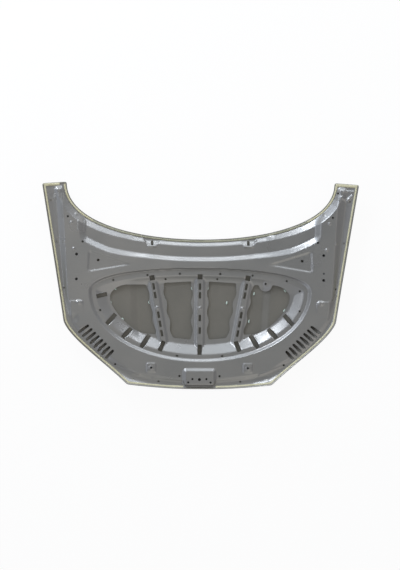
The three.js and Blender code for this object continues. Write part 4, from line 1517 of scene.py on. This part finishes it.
@dataclass
class HemSealer(SubAssembly):
    """Sealer laid in strokes over the raw edge of the hem."""

    side_outer: float = 7.4
    side_inner: float = 15.2
    rear_outer: float = 5.0
    rear_inner: float = 13.6
    horn_outer: float = 2.5
    horn_inner: float = 15.5
    crown: float = 1.5
    unevenness: float = 0.05
    clearance: float = 0.12
    rail_near: float = 6.5
    rail_far: float = 12.5
    left_horn_share: float = 0.7
    nose_gap: float = 79
    # X where the windscreen-edge bead changes from the darker sealer with painted shade to the cream sealer.
    shade_stop: float = 500

    def strokes(self) -> list[Stroke]:
        """Strokes of the whole hem, with a break in the middle of the nose.

        Returns:
            The strokes.
        """
        count = len(EDGE.loop)
        cowl, horn, side, diagonal = EDGE.breaks
        nose = len(EDGE.right) - 1 - round(self.nose_gap / 7)
        # Up to here the rear bead takes the darker sealer, whose tone is painted shade.
        shade_end = int(np.argmax(EDGE.loop[:cowl, 0] > self.shade_stop))
        along_side = (self.side_outer, self.side_inner, self.crown, CREAM_SEALER)
        along_rear = (self.rear_outer, self.rear_inner, self.crown, SHADED_SEALER)
        near_horn = (self.rear_outer, self.rear_inner, self.crown, CREAM_SEALER)
        over_horn = (self.horn_outer, self.horn_inner, self.crown * 1.4, CREAM_SEALER)
        plan = [
            ("rear", 0, shade_end, along_rear),
            ("rear_end", shade_end, cowl, near_horn),
            ("horn", cowl, horn, over_horn),
            ("side", horn, side, along_side),
            ("diagonal", side, diagonal, along_side),
            ("front", diagonal, nose, along_side),
        ]
        strokes = []
        for number, (name, first, last, look) in enumerate(plan):
            node = name.removesuffix("_end")
            left_first, left_last = count - last, count - first
            if name == "horn":
                left_last = left_first + round((left_last - left_first) * self.left_horn_share)
            ends = (("right", first, last, 1), ("left", left_first, left_last, 5))
            for hand, begin, stop, seed in ends:
                names = (f"{name}_{hand}", f"{node}_{hand}")
                strokes.append(Stroke(*names, begin, stop, *look, 10 * number + seed))
        return strokes

    @staticmethod
    def wander(count: int, seed: int, step: float) -> Array:
        """Smooth wander along a bead, between about -1 and 1.

        Args:
            count: How many stations.
            seed: Seed of the wander.
            step: Stations between turns.

        Returns:
            One value for each station.
        """
        knots = np.random.default_rng(seed).uniform(-1, 1, int(count / step) + 4)
        place = np.arange(count) / step
        whole = place.astype(int)
        share = place - whole
        return mix(knots[whole], knots[whole + 1], share * share * (3 - 2 * share))

    def bead(self, stroke: Stroke) -> bpy.types.Object:
        """Makes the bead of one stroke.

        Args:
            stroke: The stroke.

        Returns:
            The bead.
        """
        s = SIZES
        on_flange = 2 * s.sheet + s.hem_gap + self.clearance
        on_hem = on_flange + s.hem_gap + s.sheet
        count = stroke.last - stroke.first + 1
        stations = np.arange(stroke.first, stroke.last + 1) % len(EDGE.loop)
        slack = self.unevenness
        width = stroke.inner - stroke.outer
        inner = stroke.inner + slack * width * self.wander(count, stroke.seed, 6)
        outer = stroke.outer + slack * width * self.wander(count, stroke.seed + 1, 9)
        tall = stroke.crown * (1 + 2 * slack * self.wander(count, stroke.seed + 2, 4))
        tall[[0, -1]] *= 0.4
        step = np.full(count, s.hem_width + 0.1)
        section = [
            (outer, on_hem, 0.0), (step, on_hem, 0.0), (step, on_flange, 0.0), (inner, on_flange, 0.0),
            (mix(outer, inner, 0.96), on_flange + 0.6, 0.5), (mix(outer, inner, 0.82), on_hem + 0.2, 0.85),
            (mix(outer, inner, 0.5), on_hem + 0.3, 1.0), (mix(outer, inner, 0.14), on_hem + 0.2, 0.7),
        ]
        near, far = EDGE.inset(self.rail_near)[stations], EDGE.inset(self.rail_far)[stations]
        data = MeshData()
        rails = []
        for distance, base, dome in section:
            share = (distance - self.rail_near) / (self.rail_far - self.rail_near)
            spot = near + (far - near) * share[:, None]
            skin = PRESS.skin_z(spot[:, 0], spot[:, 1])
            rails.append(data.add_corners(*spot.T, skin + base + dome * tall))
        turned = rails[1:] + rails[:1]
        for rail, following in zip(rails, turned):
            data.strip(rail, following, closed=False)
        for a, b in zip(turned[1:-1], turned[2:]):
            data.faces.append(np.array([[turned[0][0], a[0], b[0]], [turned[0][-1], b[-1], a[-1]]]))
        return data.to_object(f"laid_sealer_{stroke.name}")

    def build(self) -> None:
        """Lays and dresses every stroke."""
        for stroke in self.strokes():
            self.place(self.bead(stroke), stroke.finish, f"hem_sealer_{stroke.node}")


@dataclass(frozen=True)
class Drop:
    """Place, turn in degrees and size of one drop of mastic, in millimetres."""

    x: float
    y: float
    turn: float
    length: float


@dataclass
class MasticDrops(SubAssembly):
    """Drops of mastic squeezed out under the window flanges."""

    width: float = 8.5
    height: float = 6.8
    drops: tuple[Drop, ...] = (
        Drop(-404, -21, -40, 16), Drop(-425, -88, 80, 18), Drop(-368, -164, 135, 16),
        Drop(-242, -84, 95, 16), Drop(-38, -14, 90, 20), Drop(-38, -85, 90, 22),
        Drop(-38, -168, 90, 20), Drop(38, -14, 90, 18), Drop(38, -168, 90, 16),
        Drop(128, -85, 80, 16), Drop(258, -40, 80, 16), Drop(234, -172, 80, 16),
        Drop(405, -25, 130, 18), Drop(402, -120, 60, 18),
    )

    def model(self) -> bpy.types.Object:
        """Models one drop of unit size: fat in the middle, thin at its tail and spread at its foot.

        Returns:
            The drop at the origin.
        """
        deselect()
        bpy.ops.mesh.primitive_uv_sphere_add(segments=24, ring_count=14, radius=0.5)
        drop = bpy.context.object
        bpy.ops.object.mode_set(mode="EDIT")
        pick(drop, lambda co: co.z < -0.2)
        bpy.ops.transform.resize(value=(1.12, 1.2, 0.8), center_override=(0, 0, -0.2))
        pick(drop, lambda co: co.x > 0.22)
        bpy.ops.transform.resize(value=(1.15, 0.62, 0.7), center_override=(0.22, 0, -0.2))
        pick(drop, lambda co: co.z > 0.36)
        bpy.ops.transform.translate(value=(-0.06, 0.03, 0.02))
        bpy.ops.object.mode_set(mode="OBJECT")
        finer = drop.modifiers.new("finer", "SUBSURF")
        finer.levels = finer.render_levels = 1
        bpy.ops.object.modifier_apply(modifier=finer.name)
        bpy.ops.object.shade_smooth()
        return drop

    def build(self) -> None:
        """Models one drop, copies it to every place and dresses the copies."""
        model = self.model()
        middle = SIZES.sheet + SIZES.window_lift / 2 + 0.1
        for number, drop in enumerate(self.drops, start=1):
            size = Matrix.Diagonal((drop.length * MM, self.width * MM, self.height * MM, 1))
            spot = square_to(PRESS.skin_z, drop.x, drop.y, middle, drop.turn) @ size
            piece = self.place_copy(model, spot, f"squeezed_mastic_{number:02d}")
            self.place(piece, MASTIC, f"mastic_drop_{number:02d}")
        bpy.data.objects.remove(model)


@dataclass
class WeldNuts(SubAssembly):
    """Hexagonal weld nuts under the reinforcement plates."""

    across: float = 15
    height: float = 7
    bore: float = 8.4
    chamfer: float = 0.7
    depth: float = 9.4
    hinge_bolts: tuple[tuple[str, float, float], ...] = (("rear", 586, 143), ("front", 586, 25))
    striker_bolt: tuple[float, float] = (53, -462)

    def model(self) -> bpy.types.Object:
        """Models one nut: hexagon and bore bridged, extruded and chamfered.

        Returns:
            The nut at the origin.
        """
        deselect()
        outer = self.across / math.sqrt(3) * MM
        bpy.ops.mesh.primitive_circle_add(vertices=6, radius=outer)
        nut = bpy.context.object
        bpy.ops.object.mode_set(mode="EDIT")
        bpy.ops.mesh.select_all(action="SELECT")
        bpy.ops.mesh.subdivide(number_cuts=3)
        bpy.ops.mesh.primitive_circle_add(vertices=24, radius=self.bore / 2 * MM)
        bpy.ops.mesh.select_all(action="SELECT")
        bpy.ops.mesh.bridge_edge_loops()
        bpy.ops.mesh.select_all(action="SELECT")
        bpy.ops.mesh.extrude_region_move(TRANSFORM_OT_translate={"value": (0, 0, self.height * MM)})
        bpy.ops.mesh.select_all(action="SELECT")
        bpy.ops.mesh.normals_make_consistent(inside=False)
        top = self.height * MM * 0.9
        pick(nut, lambda co: co.z > top and co.xy.length > self.bore / 2 * MM * 1.2)
        bpy.ops.mesh.bevel(offset=self.chamfer * MM, segments=2, affect="EDGES")
        bpy.ops.object.mode_set(mode="OBJECT")
        bpy.ops.object.shade_smooth_by_angle(angle=math.radians(35))
        return nut

    def build(self) -> None:
        """Models one nut, copies it to every bolt and dresses the copies."""
        model = self.model()
        for side in Side:
            spots = [(f"hinge_weld_nut_{side.word}_{name}", x, y) for name, x, y in self.hinge_bolts]
            spots.append((f"striker_weld_nut_{side.word}", *self.striker_bolt))
            for node, x, y in spots:
                spot = square_to(PRESS.panel_z, side.value * x, y, -self.depth)
                # The nuts take the darkened zinc steel, whose dark tone is painted shade.
                self.place(self.place_copy(model, spot, f"modelled_{node}"), SHADED_ZINC, node)
        bpy.data.objects.remove(model)


@dataclass
class ReinforcementPlates:
    """Plates under the inner panel, kept as packed."""

    nodes: tuple[str, ...] = ("latch_reinforcement", "hinge_reinforcement_left", "hinge_reinforcement_right")

    def build(self) -> None:
        """Dresses the plates."""
        for name in self.nodes:
            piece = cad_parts[name]
            piece.data.materials.clear()
            # The plates take the darkened zinc steel, whose dark tone is painted shade.
            piece.data.materials.append(SHADED_ZINC.material())
            LOG.info("%s, finish %s", name, SHADED_ZINC.name)


@dataclass(frozen=True)
class Window:
    """Bright workshop window: place and size in metres, brightness and colour."""

    name: str
    place: tuple[float, float, float]
    size: tuple[float, float]
    brightness: float
    colour: tuple[float, float, float]

    def add(self) -> None:
        """Adds the window as a soft light that faces the bonnet."""
        light = bpy.data.lights.new(self.name, "AREA")
        light.shape = "RECTANGLE"
        light.size, light.size_y = self.size
        light.energy = self.brightness * math.pi * self.size[0] * self.size[1]
        light.color = self.colour
        holder = add_object(self.name, light)
        holder.location = self.place
        holder.rotation_euler = (-Vector(self.place)).to_track_quat("-Z", "Y").to_euler()


@dataclass
class Studio:
    """Plain soft light, pale floor and camera."""

    windows: tuple[Window, ...] = (
        Window("left_window", (-2.6, 3.1, 1.75), (2.4, 2.9), 2.6, (0.78, 0.86, 1.0)),
        Window("left_pane", (-1.75, 3.15, 2.2), (0.7, 1.2), 19.0, (0.86, 0.91, 1.0)),
        Window("right_window", (1.5, 3.7, 1.6), (1.1, 2.6), 2.4, (0.78, 0.86, 1.0)),
        Window("right_pane", (1.7, 3.3, 2.1), (0.5, 0.7), 6.0, (0.9, 0.93, 1.0)),
        Window("rear_window", (-0.2, 4.1, 1.75), (2.8, 2.9), 1.4, (0.8, 0.88, 1.0)),
        Window("low_window", (0, 4.3, 0.3), (1.8, 0.5), 8.5, (0.84, 0.9, 1.0)),
        Window("left_tube", (-1.9, 0.6, 2.6), (1.6, 0.14), 6.0, (0.93, 0.95, 1.0)),
    )
    sky: tuple[tuple[float, tuple[float, float, float]], ...] = (
        (0.05, (0.5, 0.52, 0.57)),
        (0.14, (0.62, 0.68, 0.82)),
        (0.25, (0.32, 0.32, 0.34)),
        (0.38, (0.18, 0.18, 0.19)),
        (0.49, (0.47, 0.48, 0.46)),
        (0.6, (0.63, 0.6, 0.575)),
        (0.8, (0.38, 0.38, 0.4)),
        (1.0, (0.34, 0.34, 0.36)),
    )
    sky_strength: float = 0.98
    dim_side: float = 0.55
    dim_stop: float = -0.78
    front_gain: float = 2.0
    gain_reach: tuple[float, float] = (-0.5, -0.12)
    lens: float = 160
    sensor: float = 36
    view_height: float = 570 * 4.75
    view_lift: float = 0.05
    roll: float = 0.35
    floor_size: float = 24
    floor_glow: float = 0.94
    floor_grey: float = 0.8
    floor_roughness: float = 0.9

    def light(self) -> None:
        """Adds the windows and a sky whose brightness differs from side to side and towards the front."""
        for window in self.windows:
            window.add()
        world = bpy.data.worlds.new("studio")
        world.use_nodes = True
        tree = world.node_tree
        background = tree.nodes["Background"]
        place = add_node(tree, "ShaderNodeTexCoord", {}).outputs["Generated"]
        parts = add_node(tree, "ShaderNodeSeparateXYZ", {"Vector": place})
        colour = color_band(tree, map_range(tree, parts.outputs["X"], -1, 1, 0, 1), self.sky)
        strength = self.sky_strength
        dimmed = map_range(tree, parts.outputs["Y"], -1, self.dim_stop, strength * self.dim_side, strength)
        gained = map_range(tree, parts.outputs["Y"], *self.gain_reach, self.front_gain, 1)
        product = add_node(tree, "ShaderNodeMath", {0: dimmed, 1: gained}, "MULTIPLY")
        tree.links.new(colour, background.inputs["Color"])
        tree.links.new(product.outputs["Value"], background.inputs["Strength"])
        bpy.context.scene.world = world

    def add_floor(self) -> None:
        """Adds the pale floor, nearly white to the camera, with the bonnet's shadow on it."""
        deselect()
        bpy.ops.mesh.primitive_plane_add(size=self.floor_size)
        floor = bpy.context.object
        floor.name = "floor"
        material = bpy.data.materials.new("pale_floor")
        material.use_nodes = True
        tree = material.node_tree
        shader = tree.nodes["Principled BSDF"]
        shader.inputs["Base Color"].default_value = (*[self.floor_grey] * 3, 1)
        shader.inputs["Roughness"].default_value = self.floor_roughness
        glow = add_node(tree, "ShaderNodeEmission", {}).outputs["Emission"]
        path = add_node(tree, "ShaderNodeLightPath", {})
        seen = path.outputs["Is Camera Ray"]
        for name in ("Is Glossy Ray", "Is Transmission Ray"):
            either = add_node(tree, "ShaderNodeMath", {0: seen, 1: path.outputs[name]}, "MAXIMUM")
            seen = either.outputs["Value"]
        share = add_node(tree, "ShaderNodeMath", {0: seen, 1: self.floor_glow}, "MULTIPLY").outputs["Value"]
        inputs = {"Fac": share, 1: shader.outputs["BSDF"], 2: glow}
        choose = add_node(tree, "ShaderNodeMixShader", inputs)
        tree.links.new(choose.outputs["Shader"], tree.nodes["Material Output"].inputs["Surface"])
        floor.data.materials.append(material)

    def add_camera(self) -> None:
        """Adds the camera, straight above the bonnet."""
        camera = bpy.data.cameras.new("camera")
        camera.lens = self.lens
        camera.sensor_fit = "VERTICAL"
        camera.sensor_height = self.sensor
        camera.clip_end = 100
        holder = add_object("camera", camera)
        distance = self.lens / self.sensor * self.view_height * MM
        holder.location = (0, SHIFT_Y * MM, distance + self.view_lift)
        holder.rotation_euler = (0, 0, math.radians(self.roll))
        bpy.context.scene.camera = holder

    def build(self) -> None:
        """Sets up the light, the floor and the camera."""
        bpy.context.scene.view_settings.view_transform = "Standard"
        self.light()
        self.add_floor()
        self.add_camera()
        LOG.info("studio with %d windows", len(self.windows))


def main() -> None:
    """Builds every sub-assembly."""
    logging.basicConfig(level=logging.INFO)
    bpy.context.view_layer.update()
    Studio().build()
    OuterSkin().build()
    InnerPanel().build()
    HemSealer().build()
    MasticDrops().build()
    ReinforcementPlates().build()
    WeldNuts().build()


if __name__ == "__main__":
    main()
